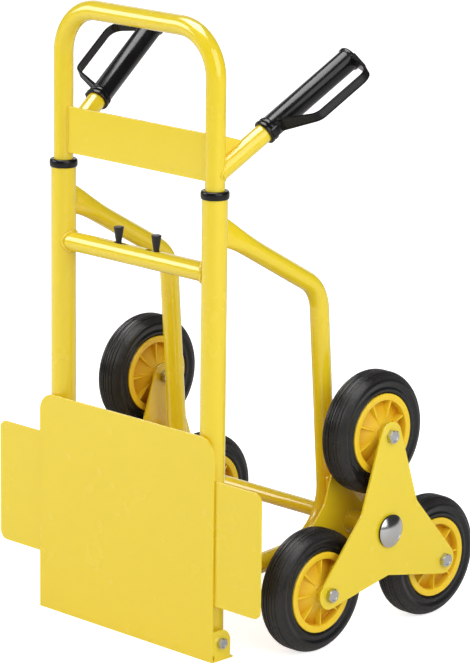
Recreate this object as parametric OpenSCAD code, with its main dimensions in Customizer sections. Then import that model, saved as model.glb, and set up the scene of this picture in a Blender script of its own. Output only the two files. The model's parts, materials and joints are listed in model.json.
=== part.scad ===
// Folding stair-climbing hand truck: a bent-tube frame with a sliding handle loop, a toe plate
// that folds up against a guard plate, and a three-wheel star on each side.
// Millimetres. +X is the truck's right, +Y its rear, +Z up.
// Origin: on the floor, midway between the two uprights and in the plane of their axes.

/* [Uprights] */
// Distance between the axes of the two uprights
upright_spacing = 273; // [255:1:290]
// Outside diameter of an upright
upright_d = 32; // [31:0.5:34]
// Wall of an upright
upright_wall = 1.5; // [1.2:0.1:1.6]
// Height of the uprights' top ends above the floor
upright_top = 600; // [585:5:640]

/* [Handle loop] */
// Outside diameter of the sliding loop's tube
loop_d = 25; // [24:0.5:26]
// Wall of the loop's tube
loop_wall = 1.5; // [1.2:0.1:2.5]
// Height of the loop's top above the floor, handle down
loop_top = 811; // [780:1:860]
// Radius of the loop's two top bends, at the tube's centre line
loop_bend = 60; // [45:1:80]
// How far the handle slides up
handle_travel = 380; // [300:5:385]
// Height of the crossbar's axis, where the handle locks
crossbar_z = 495.5; // [470:0.5:520]
// Outside diameter of the crossbar
crossbar_d = 25; // [24:0.5:27]
// Wall of the crossbar
crossbar_wall = 1.5; // [1.2:0.1:2]

/* [Badge plate] */
// Height of the blank plate's lower edge, handle down
badge_bottom = 611; // [608:1:620]
// Height of the blank plate
badge_h = 60; // [40:1:70]
// Thickness of the blank plate
badge_t = 2.5; // [1.5:0.5:4]
// Distance of the blank plate in front of the loop's middle plane
badge_front = 3; // [0:0.5:6]

/* [Rear handles] */
// Height where a rear handle's axis meets the loop's axis
handle_root_z = 620; // [616:1:630]
// Upward slope of the rear handles, in degrees
handle_rise = 32.5; // [25:0.5:40]
// Outward splay of the rear handles, in degrees
handle_splay = 11.2; // [0:0.2:16]
// Outside diameter of a rear handle's tube
handle_d = 25; // [22:0.5:25]
// Wall of a rear handle's tube
handle_wall = 1.5; // [1.2:0.1:2.5]
// Thickness of the gusset on top of each rear handle
handle_gusset_t = 3; // [2:0.5:5]
// Length of the gusset, measured from the loop's axis
handle_gusset_l = 38; // [28:1:46]
// Height of the gusset where it stands against the loop
handle_gusset_h = 37; // [24:1:45]
// Distance along the handle from the loop's axis to the grip's lower end
grip_start = 84.5; // [70:0.5:95]
// Length of a grip
grip_length = 156.5; // [140:0.5:190]
// Outside diameter of a grip's sleeve
grip_d = 29; // [28:0.5:34]
// Diameter of the grip's lower flange
grip_flange_d = 32.5; // [31:0.5:42]
// Width of the grip's lower flange
grip_flange_w = 12; // [8:0.5:18]
// Thickness of the grip's closed end
grip_end_t = 7; // [4:0.5:10]
// Distance from the grip's axis to the knuckle guard's strap
guard_reach = 59.2; // [50:0.1:70]
// Width of the knuckle guard's strap
strap_w = 12.5; // [10:0.5:18]
// Thickness of the knuckle guard's strap
strap_t = 2.8; // [2:0.1:4]
// Distance from the grip's lower end to the guard's lower corner
guard_corner = 48.5; // [40:0.5:70]
// Distance from the grip's lower end to where the guard's lower side would reach the grip's axis
guard_foot = 11; // [6:0.5:24]
// How much shorter the grip is at the guard's upper corner than at its closed end
guard_back = 18; // [0:0.5:30]
// Outside radius of the guard's lower corner
guard_low_r = 16; // [8:1:20]
// Outside radius of the guard's upper corner
guard_high_r = 12; // [8:1:20]

/* [Handle lock] */
// Distance from the truck's middle to each release knob
knob_x = 34; // [32:0.5:40]
// How far a knob is drawn inwards to free the handle
knob_draw = 13; // [8:0.5:15]
// How far a lock pin moves outwards into the loop's hole
pin_throw = 3; // [2.5:0.1:3.5]
// Diameter of a knob's top
knob_top_d = 13.4; // [10:0.2:15]
// Diameter of a knob's waist, just above the crossbar
knob_base_d = 7.4; // [7:0.1:9]
// Height of a knob above the crossbar
knob_h = 20.5; // [15:0.5:25]
// Diameter of the stud that joins a knob to its lock rod
stud_d = 5; // [4:0.5:5.5]
// Diameter of a lock rod
lock_rod_d = 8; // [7:0.5:9]
// Diameter of a lock spring
spring_d = 13; // [11:0.5:16]
// Wire diameter of a lock spring
spring_wire = 1.2; // [0.8:0.1:1.4]
// Turns of a lock spring
spring_turns = 5; // [4:1:6]

/* [Side legs] */
// Outside diameter of a leg's tube
leg_d = 25; // [22:0.5:26]
// Wall of a leg's tube
leg_wall = 1.5; // [1.2:0.1:2.5]
// Height of a leg's pressed upper end, across its tube
leg_flare_h = 37; // [30:0.5:38]
// Thickness of a leg's pressed upper end
leg_flare_t = 9; // [6:0.5:14]
// Length along a leg's tube over which its upper end widens
leg_flare_w = 85; // [60:1:100]
// Height where a leg's lower end meets the upright
leg_foot_z = 96; // [90:1:110]
// Height where a leg's upper end meets the upright
leg_head_z = 555; // [540:1:570]
// Corner of a leg's centre line at its upper bend: distance behind the uprights
leg_high_y = 189; // [175:1:200]
// Corner of a leg's centre line at its upper bend: height
leg_high_z = 448; // [430:1:460]
// Corner of a leg's centre line at its lower bend: distance behind the uprights
leg_low_y = 215; // [210:1:220]
// Corner of a leg's centre line at its lower bend: height
leg_low_z = 112; // [108:1:118]
// Radius of the upper bend, at the centre line
leg_high_bend = 50; // [40:1:70]
// Radius of the lower bend, at the centre line
leg_low_bend = 75; // [65:1:85]

/* [Axle] */
// Distance of the axle behind the uprights' plane
axle_y = 218.5; // [216:0.5:222]
// Diameter of the axle
axle_d = 16; // [14:0.5:17]
// Outside diameter of the tube across the frame that holds the axle
axle_tube_d = 20; // [19.5:0.5:22]
// Outside diameter of the bosses outside the gussets
boss_d = 26; // [24:0.5:30]
// Thickness of the gussets on the legs
gusset_t = 4; // [3:0.5:6]
// Height of a gusset above the corner of its leg
gusset_rise = 88; // [70:1:110]
// Width of a gusset across its top
gusset_top_w = 38; // [30:1:50]
// How far a gusset reaches behind the axle
gusset_reach = 32; // [22:1:40]
// Length of a gusset's foot along the leg, in front of the leg's corner
gusset_foot = 80; // [60:1:100]
// Thickness of the axle's washers
washer_t = 1.5; // [1:0.1:2]
// Diameter of the domed caps on the axle's ends
cap_d = 43; // [36:0.5:50]
// Height of the domed caps
cap_h = 9.5; // [8:0.5:14]

/* [Wheel stars] */
// Distance from the truck's middle to the middle of each wheel
wheel_x = 206; // [200:1:215]
// Distance from the axle to each wheel's axis
star_r = 125; // [115:1:135]
// Thickness of a star's plates
star_t = 3; // [2:0.5:5]
// Radius of the rounded end of each arm
star_tip_r = 19; // [16:0.5:22]
// Distance from the axle to the notch between two arms
star_waist_r = 60; // [50:1:62]
// Radius in the notch between two arms
star_waist_bend = 10; // [4:1:16]
// Outside diameter of a star's hub tube
star_hub_d = 28; // [24:0.5:34]

/* [Wheels] */
// Outside diameter of a tyre
wheel_d = 160; // [150:1:165]
// Width of a tyre
tyre_w = 39; // [32:0.5:44]
// Radius of a tyre's rounded shoulders
tyre_shoulder = 14; // [8:0.5:15]
// Diameter of a rim
rim_d = 105; // [96:1:112]
// Width of the rim's outer ring, seen from the side
rim_ring = 9; // [6:0.5:12]
// Depth of the rim's recess at its outer edge
rim_recess = 13; // [8:0.5:14]
// Depth of the rim's recess at the hub
hub_recess = 1; // [0.5:0.5:7]
// Number of ribs in each recess
rim_ribs = 8; // [6:1:16]
// Turn of the right top wheel's ribs against the others', in degrees
rib_turn = 22.5; // [0:0.5:60]
// Thickness of a rib
rib_t = 2.6; // [1.5:0.1:4]
// Diameter of a wheel's hub
hub_d = 26; // [25:0.5:40]
// Length of a wheel's hub
hub_w = 40; // [39.5:0.5:46]
// How far the ribs lie below the rim's faces
rib_drop = 2; // [1:0.5:8]
// Width of the gap between a hub and a star's plate
hub_side_gap = 11; // [8:0.5:14]
// Diameter of a wheel bolt
wheel_bolt_d = 10; // [8:0.5:12]
// Outside diameter of the sleeve that a wheel turns on
sleeve_d = 16; // [15:0.5:18]
// Outside diameter of the spacer rings beside a hub
spacer_d = 24; // [20:0.5:26]

/* [Toe plate] */
// Gap between each of the toe plate's ears and its upright
ear_gap = 5; // [3:0.5:12]
// Height of the toe plate when it is folded up
toe_h = 292; // [260:1:320]
// Thickness of the toe plate's sheet
toe_t = 2.5; // [2:0.1:3]
// Radius of the toe plate's free corners
toe_corner = 25; // [10:1:60]
// Distance of the toe plate's pivot in front of the uprights' plane
pivot_front = 5; // [4:0.5:6]
// Radius of the rounded ears around the pivot
ear_r = 17; // [15:0.5:18]
// How far the heel reaches behind the uprights' plane
heel_reach = 17; // [15:0.5:20]
// Diameter of the toe plate's pivot bolts
pivot_bolt_d = 8; // [7:0.5:9]

/* [Guard plate] */
// Width of the guard plate in front of the wheels
guard_plate_w = 480; // [460:1:500]
// Height of the guard plate's lower edge
guard_plate_z = 75; // [70:1:90]
// Height of the guard plate
guard_plate_h = 163; // [120:1:180]
// Thickness of the guard plate
guard_plate_t = 2; // [1.5:0.1:2.5]
// Radius of the guard plate's corners
guard_plate_corner = 12; // [5:1:40]

/* [Hidden] */
$fn = 48;

YELLOW = [0.93, 0.82, 0.25];
RIM_YELLOW = [0.95, 0.77, 0.15];
RUBBER = [0.12, 0.12, 0.13];
BLACK = [0.08, 0.08, 0.09];
ZINC = [0.72, 0.73, 0.75];
CHROME = [0.85, 0.86, 0.88];

// Clearances
run_gap = 0.05;         // radial, between a shaft and what turns or slides on it
seat_gap = 0.02;        // radial, between two pieces that are fixed to each other
face_gap = 0.3;         // between flat faces of pieces that move past each other
slide_gap = 0.1;        // radial, between the loop's tubes and their plastic guides
cut = 1;                // how far a cut runs past the solid that it cuts
bend_swell = 0.15;      // how much wider a bend is than the straights that run into it
bend_lap = 0.3;         // how far a straight runs into a bend

// Uprights
upright_x = upright_spacing / 2;
upright_bore = upright_d - 2 * upright_wall;

// Handle loop
loop_x = upright_x;
lower_lock_z = crossbar_z - handle_travel;
loop_tail = 25;         // length of the loop's leg below its lower lock hole
loop_bottom = lower_lock_z - loop_tail;
guide_h = 14;           // height of the loop's lower guides
guide_lift = 2;         // height of the guides above the loop's lower ends

// Collars on the uprights' top ends
collar_t = 2;           // wall around the upright
collar_skirt = 9;       // height below the upright's top end
collar_lip = 1.5;         // height above the upright's top end
collar_sleeve = 34;     // depth of the sleeve inside the upright

// Rear handles
gusset_nose = 1;        // height of the handle gusset's blunt rear end
handle_start = loop_d / 6;  // where a handle's tube starts inside the loop's leg, before coping

// Handle lock
lock_tip_x = loop_x - loop_d / 2 - face_gap;
hole_ease = 0.03;       // extra clearance around a rod in the loop's lock holes
lock_hole_d = lock_rod_d + 2 * (run_gap + hole_ease);
piston_w = 6;           // length of the collar at a lock rod's inner end
piston_gap = 1.5;       // between that collar and the knob's stud
piston_x = knob_x - stud_d / 2 - piston_gap - piston_w;
slot_w = knob_base_d + 2 * face_gap;
slot_in_x = knob_x - knob_draw - slot_w / 2 - face_gap;
slot_out_x = knob_x + pin_throw + slot_w / 2 + face_gap;
knob_round = 1.2;         // radius around a knob's top
knob_flare = 1;         // height above the crossbar where the knob starts to widen
stop_w = 3;             // width of the plug that both springs push against
crossbar_bore = crossbar_d - 2 * crossbar_wall;

// Toe plate
toe_w = 2 * (upright_x + upright_d / 2 + ear_gap + toe_t);
pivot_y = -pivot_front;
toe_back_y = -upright_d / 2 - guard_plate_t - face_gap;
toe_front_y = toe_back_y - toe_t;
heel_drop = upright_d / 2 + pivot_front + face_gap;
pivot_z = heel_drop + toe_t;
panel_offset = pivot_y - toe_back_y;
foot_clear = panel_offset - face_gap;
plug_h = 30;            // height of the plug in an upright's lower end
hinge_spacer_d = 15;    // outside diameter of the spacer between an ear and its upright
relief_w = 2;           // width of the bend relief at the foot of each ear
relief_h = 6;           // height of the bend relief
bolt_head_ratio = 1.62; // width across a hexagon's flats over bolt diameter
bolt_head_h_ratio = 0.65;   // height of a bolt's head over bolt diameter
nut_h_ratio = 0.8;      // height of a nut over bolt diameter
thread_end = 2;         // length of thread that shows past a nut

// Side legs, in the plane across the truck: [y, z] corners of the centre line
leg_path = [[0, leg_foot_z], [leg_low_y, leg_low_z], [leg_high_y, leg_high_z], [0, leg_head_z]];
leg_bends = [0, leg_low_bend, leg_high_bend, 0];
leg_x = upright_x;
leg_flare_soft = 2;     // how much less the pressed end widens below, just behind the upright
leg_flare_under = 0.6;  // share of the widening's length that its lower edge takes

// Axle and stars
axle_z = wheel_d / 2 + star_r / 2;
axle = [axle_y, axle_z];
gusset_x = leg_x + (leg_d + bend_swell) / 2;
plate_gap = hub_w + 2 * hub_side_gap;
star_in_x = wheel_x - plate_gap / 2 - star_t;
star_out_x = wheel_x + plate_gap / 2;
gusset_round = 12;      // radius of a gusset's corners
washer_d = 30;          // outside diameter of the axle's washers
boss_end_x = star_in_x - face_gap - washer_t;
outer_washer_x = star_out_x + star_t + face_gap;
cap_x = star_out_x + star_t + 2 * face_gap;
cap_wall = 1.5;         // wall of a domed cap
axle_end_gap = 2;       // between an axle's end and the inside of its cap
axle_end_x = cap_x + cap_h - cap_wall - axle_end_gap;
cap_socket_t = 3;       // wall of the socket that grips the axle's end

// Wheels
rib_root = 2;           // how far a rib's ends reach into the hub and the ring
bead_in = 2;            // how far a tyre's side slopes in where it meets the rim
bead_up = 4;            // height of that slope
bead_round = 3;         // radius above it

// The side of an arm runs from the notch to a tangent of the arm's round end
notch_along = star_waist_r * cos(60);
notch_across = star_waist_r * sin(60);
notch_to_tip = norm([star_r - notch_along, notch_across]);
arm_taper = atan2(notch_across, star_r - notch_along) - asin(star_tip_r / notch_to_tip);
arm_apex_r = star_r + star_tip_r / sin(arm_taper);
TOP = 90;
FRONT = 210;
REAR = 330;

// ---- Outlines and tubes ----

function unit(v) = v / norm(v);
function heading(v) = atan2(v.y, v.x);
function turn(from, to) =
    let (d = (to - from) % 360) d > 180 ? d - 360 : d < -180 ? d + 360 : d;
function polar(r, angle) = r * [cos(angle), sin(angle)];

// The centre of an arc of radius r that touches both sides of the corner a-p-b
function arc_centre(a, p, b, r) =
    let (u = unit(a - p), w = unit(b - p)) p + unit(u + w) * r / sin(acos(u * w) / 2);
function trim_length(a, p, b, r) = r / tan(acos(unit(a - p) * unit(b - p)) / 2);

function corner_arc(a, p, b, r, steps) =
    r == 0 ? [p] :
    let (
        t = trim_length(a, p, b, r),
        c = arc_centre(a, p, b, r),
        from = heading(p + unit(a - p) * t - c),
        sweep = turn(from, heading(p + unit(b - p) * t - c))
    ) [for (k = [0 : steps]) c + polar(r, from + sweep * k / steps)];

// An outline of straight sides; each corner is [x, y, radius]
function rounded(corners, steps = 10) = [
    for (i = [0 : len(corners) - 1])
        let (
            n = len(corners),
            xy = [for (q = corners) [q.x, q.y]]
        ) each corner_arc(xy[(i + n - 1) % n], xy[i], xy[(i + 1) % n], corners[i][2], steps)
];

// A solid bar along corners in the XY plane, with a bend of its own radius at each inner corner
module bent_bar(path, bends, d) {
    last = len(path) - 1;
    for (i = [0 : last - 1]) {
        p = path[i];
        q = path[i + 1];
        u = unit(q - p);
        start = i == 0 ? p : p + u * (trim_length(path[i - 1], p, q, bends[i]) - bend_lap);
        end = i == last - 1 ? q :
            q - u * (trim_length(p, q, path[i + 2], bends[i + 1]) - bend_lap);
        translate([start.x, start.y, 0])
            rotate([0, 90, heading(u)])
                cylinder(d = d, h = norm(end - start));
    }
    for (i = [1 : last - 1]) {
        a = path[i - 1];
        p = path[i];
        b = path[i + 1];
        t = trim_length(a, p, b, bends[i]);
        c = arc_centre(a, p, b, bends[i]);
        from = heading(p + unit(a - p) * t - c);
        sweep = turn(from, heading(p + unit(b - p) * t - c));
        translate([c.x, c.y, 0])
            rotate([0, 0, sweep > 0 ? from : from + sweep])
                rotate_extrude(angle = abs(sweep))
                    translate([bends[i], 0]) circle(d = d + bend_swell);
    }
}

// The same path with both free ends made longer
function lengthened(path, by) = let (last = len(path) - 1) [
    for (i = [0 : last])
        i == 0 ? path[0] + unit(path[0] - path[1]) * by :
        i == last ? path[last] + unit(path[last] - path[last - 1]) * by : path[i]
];

module bent_tube(path, bends, d, wall) difference() {
    bent_bar(path, bends, d);
    bent_bar(lengthened(path, cut), bends, d - 2 * wall);
}

// ---- Places ----

// Draws for the right side, and mirrored for the left
module on_side(side) {
    if (side > 0) children();
    else mirror([1, 0, 0]) children();
}

module both_sides() for (side = [-1, 1]) on_side(side) children();

// A [y, z] outline made solid from x = from_x towards the right
module along_x(from_x, length)
    translate([from_x, 0, 0]) rotate([90, 0, 90]) linear_extrude(length) children();

// An [x, z] outline made solid from y = front_y towards the rear
module facing_front(front_y, thickness)
    translate([0, front_y + thickness, 0]) rotate([90, 0, 0]) linear_extrude(thickness) children();

// A round bar along X
module bar_x(from_x, to_x, d, at)
    translate([from_x, at[0], at[1]]) rotate([0, 90, 0]) cylinder(d = d, h = to_x - from_x);

module ring_x(from_x, to_x, d, bore, at) difference() {
    bar_x(from_x, to_x, d, at);
    bar_x(from_x - cut, to_x + cut, bore, at);
}

// A hexagon head or nut along X
module hexagon_x(from_x, height, bolt_d, at)
    translate([from_x, at[0], at[1]])
        rotate([0, 90, 0])
            cylinder(d = bolt_d * bolt_head_ratio / cos(30), h = height, $fn = 6);

module upright_axis(d, from_z, to_z)
    translate([upright_x, 0, from_z]) cylinder(d = d, h = to_z - from_z);

// The right handle's own frame: Z runs along the handle away from the loop, X points outwards
module at_handle()
    translate([loop_x, 0, handle_root_z])
        rotate([0, 0, -handle_splay]) rotate([handle_rise - 90, 0, 0]) children();

function wheel_at(angle) = axle + polar(star_r, angle);

module each_wheel() for (angle = [TOP, FRONT, REAR]) {
    at = wheel_at(angle);
    translate([0, at.x, at.y]) children();
}

// ---- Frame ----

// Room for the toe plate to swing round the uprights' lower ends, as a [y, z] outline
module foot_outline() {
    tall = upright_top + cut;
    translate([pivot_y, pivot_z]) {
        circle(r = foot_clear);
        translate([-upright_d, 0]) square([2 * upright_d, tall]);
        intersection() {
            circle(r = heel_drop - face_gap);
            translate([0, -foot_clear]) square([upright_d, foot_clear]);
        }
    }
}

module upright() color(YELLOW) difference() {
    intersection() {
        upright_axis(upright_d, 0, upright_top);
        along_x(upright_x - upright_d, 2 * upright_d) foot_outline();
    }
    upright_axis(upright_bore, -cut, upright_top + cut);
    bar_x(0, upright_x + upright_d, pivot_bolt_d + 2 * seat_gap, [pivot_y, pivot_z]);
    bar_x(0, upright_x, lock_hole_d, [0, crossbar_z]);
}

module crossbar() color(YELLOW) difference() {
    bar_x(-upright_x, upright_x, crossbar_d, [0, crossbar_z]);
    bar_x(-upright_x - cut, upright_x + cut, crossbar_bore, [0, crossbar_z]);
    both_sides() {
        upright_axis(upright_d, crossbar_z - crossbar_d, crossbar_z + crossbar_d);
        translate([slot_in_x + slot_w / 2, 0, crossbar_z]) cylinder(d = slot_w, h = crossbar_d);
        translate([slot_out_x - slot_w / 2, 0, crossbar_z]) cylinder(d = slot_w, h = crossbar_d);
        translate([slot_in_x + slot_w / 2, -slot_w / 2, crossbar_z])
            cube([slot_out_x - slot_in_x - slot_w, slot_w, crossbar_d]);
    }
}

// A leg's upper end is pressed flat, and widens above and below its tube up to the upright
module leg_flare() along_x(leg_x - leg_flare_t / 2, leg_flare_t)
    translate([0, leg_head_z]) rotate(atan2(leg_high_z - leg_head_z, leg_high_y)) polygon([
        [0, -leg_flare_h / 2], [upright_d, -leg_flare_h / 2 + leg_flare_soft],
        [leg_flare_w * leg_flare_under, -leg_d / 2 + cut], [leg_flare_w, -leg_d / 2 + cut],
        [leg_flare_w, leg_d / 2 - cut], [upright_d / 2, leg_flare_h / 2], [0, leg_flare_h / 2]
    ]);

module leg() color(YELLOW) difference() {
    union() {
        translate([leg_x, 0, 0]) rotate([90, 0, 90])
            bent_tube(leg_path, leg_bends, leg_d, leg_wall);
        leg_flare();
    }
    upright_axis(upright_d, 0, upright_top);
    bar_x(0, gusset_x + cut, axle_tube_d + 2 * seat_gap, axle);
}

module axle_tube() color(YELLOW)
    ring_x(-gusset_x - gusset_t, gusset_x + gusset_t, axle_tube_d, axle_d + 2 * seat_gap, axle);

// The plate on the outside of a leg's lower bend; its front edge follows the bend
module axle_gussets() color(YELLOW) both_sides() difference() {
    bend_centre = arc_centre(leg_path[0], leg_path[1], leg_path[2], leg_low_bend);
    top_y = leg_low_y + gusset_top_w / 2;
    leg_slope = (leg_low_z - leg_foot_z) / leg_low_y;
    leg_foot_top = leg_low_z - leg_slope * gusset_foot;
    along_x(gusset_x, gusset_t) difference() {
        polygon(rounded([
            [top_y - gusset_top_w, leg_low_z + gusset_rise, 0],
            [top_y, leg_low_z + gusset_rise, gusset_round],
            [axle_y + gusset_reach, axle_z, gusset_reach],
            [leg_low_y + gusset_round, leg_low_z - gusset_round / 4, gusset_round],
            [leg_low_y - gusset_foot, leg_foot_top - leg_d / 2, gusset_round / 3],
            [leg_low_y - gusset_foot, leg_foot_top + leg_d, 0]
        ]));
        translate(bend_centre) circle(r = leg_low_bend - leg_d / 2);
    }
    bar_x(gusset_x - cut, gusset_x + gusset_t + cut, axle_tube_d + 2 * seat_gap, axle);
}

module axle_bosses() color(YELLOW) both_sides()
    ring_x(gusset_x + gusset_t, boss_end_x, boss_d, axle_d + 2 * seat_gap, axle);

module axle_rod() color(ZINC) bar_x(-axle_end_x, axle_end_x, axle_d, axle);

module axle_washers() color(ZINC) both_sides() {
    ring_x(boss_end_x, boss_end_x + washer_t, washer_d, axle_d + 2 * seat_gap, axle);
    ring_x(outer_washer_x, outer_washer_x + washer_t, washer_d, axle_d + 2 * seat_gap, axle);
}

// A domed shell with a socket inside that grips the axle's end
module axle_caps() color(CHROME) both_sides()
    translate([cap_x, axle_y, axle_z]) rotate([0, 90, 0]) rotate_extrude() {
        difference() {
            dome_outline(cap_d / 2, cap_h);
            dome_outline(cap_d / 2 - cap_wall, cap_h - cap_wall);
        }
        difference() {
            translate([axle_d / 2 + seat_gap, outer_washer_x + washer_t - cap_x])
                square([cap_socket_t, cap_h]);
            difference() {
                square([cap_d, 2 * cap_h]);
                dome_outline(cap_d / 2 - cap_wall / 2, cap_h - cap_wall / 2);
            }
        }
    }

// Half of a low dome's section: a quarter of an ellipse
module dome_outline(r, h, steps = 16)
    polygon(concat([[0, 0]], [for (k = [0 : steps]) let (a = 90 * k / steps) [r * cos(a), h * sin(a)]]));

module guard_plate() color(YELLOW) {
    left = -guard_plate_w / 2;
    top = guard_plate_z + guard_plate_h;
    c = guard_plate_corner;
    facing_front(-upright_d / 2 - guard_plate_t, guard_plate_t)
        polygon(rounded([
            [left, guard_plate_z, c], [-left, guard_plate_z, c], [-left, top, c], [left, top, c]
        ]));
}

module collars() color(BLACK) both_sides()
    translate([upright_x, 0, upright_top]) difference() {
        union() {
            translate([0, 0, -collar_skirt])
                cylinder(d = upright_d + 2 * collar_t, h = collar_skirt + collar_lip);
            translate([0, 0, -collar_sleeve])
                cylinder(d = upright_bore - 2 * seat_gap, h = collar_sleeve);
        }
        difference() {
            translate([0, 0, -collar_skirt - cut])
                cylinder(d = upright_d + 2 * seat_gap, h = collar_skirt + cut);
            translate([0, 0, -collar_sleeve])
                cylinder(d = upright_bore - 2 * seat_gap, h = collar_sleeve);
        }
        translate([0, 0, -collar_sleeve - cut])
            cylinder(d = loop_d + 2 * slide_gap, h = collar_sleeve + collar_lip + 2 * cut);
    }

module upright_plugs() color(BLACK) both_sides() difference() {
    intersection() {
        upright_axis(upright_bore - 2 * seat_gap, 0, pivot_z + plug_h);
        along_x(upright_x - upright_d, 2 * upright_d) foot_outline();
    }
    bar_x(0, upright_x + upright_d, pivot_bolt_d + 2 * seat_gap, [pivot_y, pivot_z]);
}

module hinge_bolts() color(ZINC) both_sides() {
    ear_out_x = toe_w / 2;
    nut_h = pivot_bolt_d * nut_h_ratio;
    bar_x(upright_x - upright_d / 2 - nut_h - thread_end, ear_out_x + face_gap, pivot_bolt_d,
        [pivot_y, pivot_z]);
    hexagon_x(ear_out_x + face_gap, pivot_bolt_d * bolt_head_h_ratio, pivot_bolt_d,
        [pivot_y, pivot_z]);
}

module hinge_spacers() color(ZINC) both_sides()
    ring_x(upright_x + upright_d / 2, toe_w / 2 - toe_t - face_gap, hinge_spacer_d,
        pivot_bolt_d + 2 * seat_gap, [pivot_y, pivot_z]);

module hinge_nuts() color(ZINC) both_sides() difference() {
    nut_h = pivot_bolt_d * nut_h_ratio;
    hexagon_x(upright_x - upright_d / 2 - nut_h, nut_h, pivot_bolt_d, [pivot_y, pivot_z]);
    bar_x(0, upright_x, pivot_bolt_d + 2 * seat_gap, [pivot_y, pivot_z]);
}

// ---- Handle ----

module handle_loop() color(YELLOW) difference() {
    z = loop_top - loop_d / 2;
    path = [[-loop_x, loop_bottom], [-loop_x, z], [loop_x, z], [loop_x, loop_bottom]];
    rotate([90, 0, 0]) bent_tube(path, [0, loop_bend, loop_bend, 0], loop_d, loop_wall);
    for (z = [crossbar_z, lower_lock_z]) bar_x(-loop_x, loop_x, lock_rod_d + 0.6, [0, z]);
}

module loop_legs(d = loop_d) both_sides()
    translate([loop_x, 0, loop_bottom]) cylinder(d = d, h = loop_top - loop_bend - loop_bottom);

module badge_plate() color(YELLOW) difference() {
    facing_front(-badge_front - badge_t / 2, badge_t)
        translate([-loop_x, badge_bottom]) square([2 * loop_x, badge_h]);
    loop_legs();
}

module handle_bar(d, to) at_handle()
    translate([0, 0, handle_start]) cylinder(d = d, h = to - handle_start);

module rear_tube() color(YELLOW) difference() {
    handle_bar(handle_d, grip_start + grip_length - grip_end_t - face_gap);
    handle_bar(handle_d - 2 * handle_wall, grip_start + grip_length);
    loop_legs();
}

// A triangle of plate between the loop and the top of each rear handle
module handle_gussets() color(YELLOW) both_sides() difference() {
    foot = handle_root_z + (handle_d / 2) / cos(handle_rise);
    tip = foot + handle_gusset_l * tan(handle_rise);
    sunk = handle_wall * 3;
    translate([loop_x, 0, 0]) rotate([0, 0, -handle_splay])
        translate([-handle_gusset_t / 2, 0, 0]) rotate([90, 0, 90]) linear_extrude(handle_gusset_t)
            polygon([
                [0, foot - sunk], [handle_gusset_l, tip - sunk],
                [handle_gusset_l, tip + gusset_nose], [0, foot + handle_gusset_h]
            ]);
    loop_legs();
    handle_bar(handle_d, grip_start);
}

// The knuckle guard's [outwards, along the handle] outline; "strap" and "end" bring it inwards
function guard_outline(strap, end) = let (
    tip = grip_start + grip_length - end,
    side = guard_reach + strap_t / 2 - strap,
    low = [0, grip_start + guard_foot],
    corner = [guard_reach + strap_t / 2, grip_start + guard_corner],
    inwards = strap * [-(corner - low).y, (corner - low).x] / norm(corner - low),
    slope = (corner.y - low.y) / (corner.x - low.x),
    foot = low + inwards
) rounded([
    [0, foot.y - slope * foot.x, 0], [side, foot.y + slope * (side - foot.x), guard_low_r - strap],
    [side, tip - guard_back, guard_high_r - strap], [grip_flange_d / 2, tip, 0], [0, tip, 0]
]);

module grip() color(BLACK) at_handle() difference() {
    union() {
        translate([0, 0, grip_start]) cylinder(d = grip_d, h = grip_length);
        translate([0, 0, grip_start]) cylinder(d = grip_flange_d, h = grip_flange_w);
        translate([0, 0, grip_start + grip_length - grip_end_t])
            cylinder(d = grip_flange_d, h = grip_end_t);
        rotate([90, 0, 0]) translate([0, 0, -strap_w / 2])
            linear_extrude(strap_w) difference() {
                polygon(guard_outline(0, 0));
                polygon(guard_outline(strap_t, grip_end_t));
            }
    }
    translate([0, 0, grip_start - cut])
        cylinder(d = handle_d + 2 * seat_gap, h = grip_length - grip_end_t + cut);
}

module slide_guides() color(BLACK) both_sides()
    translate([loop_x, 0, loop_bottom + guide_lift]) difference() {
        cylinder(d = upright_bore - 2 * slide_gap, h = guide_h);
        translate([0, 0, -cut]) cylinder(d = loop_d + 2 * seat_gap, h = guide_h + 2 * cut);
    }

// ---- Handle lock ----

module lock_rod() color(ZINC) difference() {
    union() {
        bar_x(piston_x, lock_tip_x, lock_rod_d, [0, crossbar_z]);
        bar_x(piston_x, piston_x + piston_w, crossbar_bore - 2 * slide_gap, [0, crossbar_z]);
    }
    translate([knob_x, 0, crossbar_z - lock_rod_d])
        cylinder(d = stud_d + 2 * seat_gap, h = 2 * lock_rod_d);
}

module knob() color(BLACK) {
    seat_z = crossbar_z + lock_rod_d / 2;
    top_z = crossbar_z + crossbar_d / 2;
    translate([knob_x, 0, 0]) {
        translate([0, 0, crossbar_z - lock_rod_d / 2]) cylinder(d = stud_d, h = lock_rod_d);
        translate([0, 0, seat_z]) rotate_extrude() polygon(rounded([
            [0, 0, 0], [knob_base_d / 2, 0, 0], [knob_base_d / 2, top_z - seat_z + knob_flare, 0],
            [knob_top_d / 2, top_z - seat_z + knob_h, knob_round], [0, top_z - seat_z + knob_h, 0]
        ]));
    }
}

module spring_stop() color(BLACK)
    bar_x(-stop_w / 2, stop_w / 2, crossbar_bore - 2 * seat_gap, [0, crossbar_z]);

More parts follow.
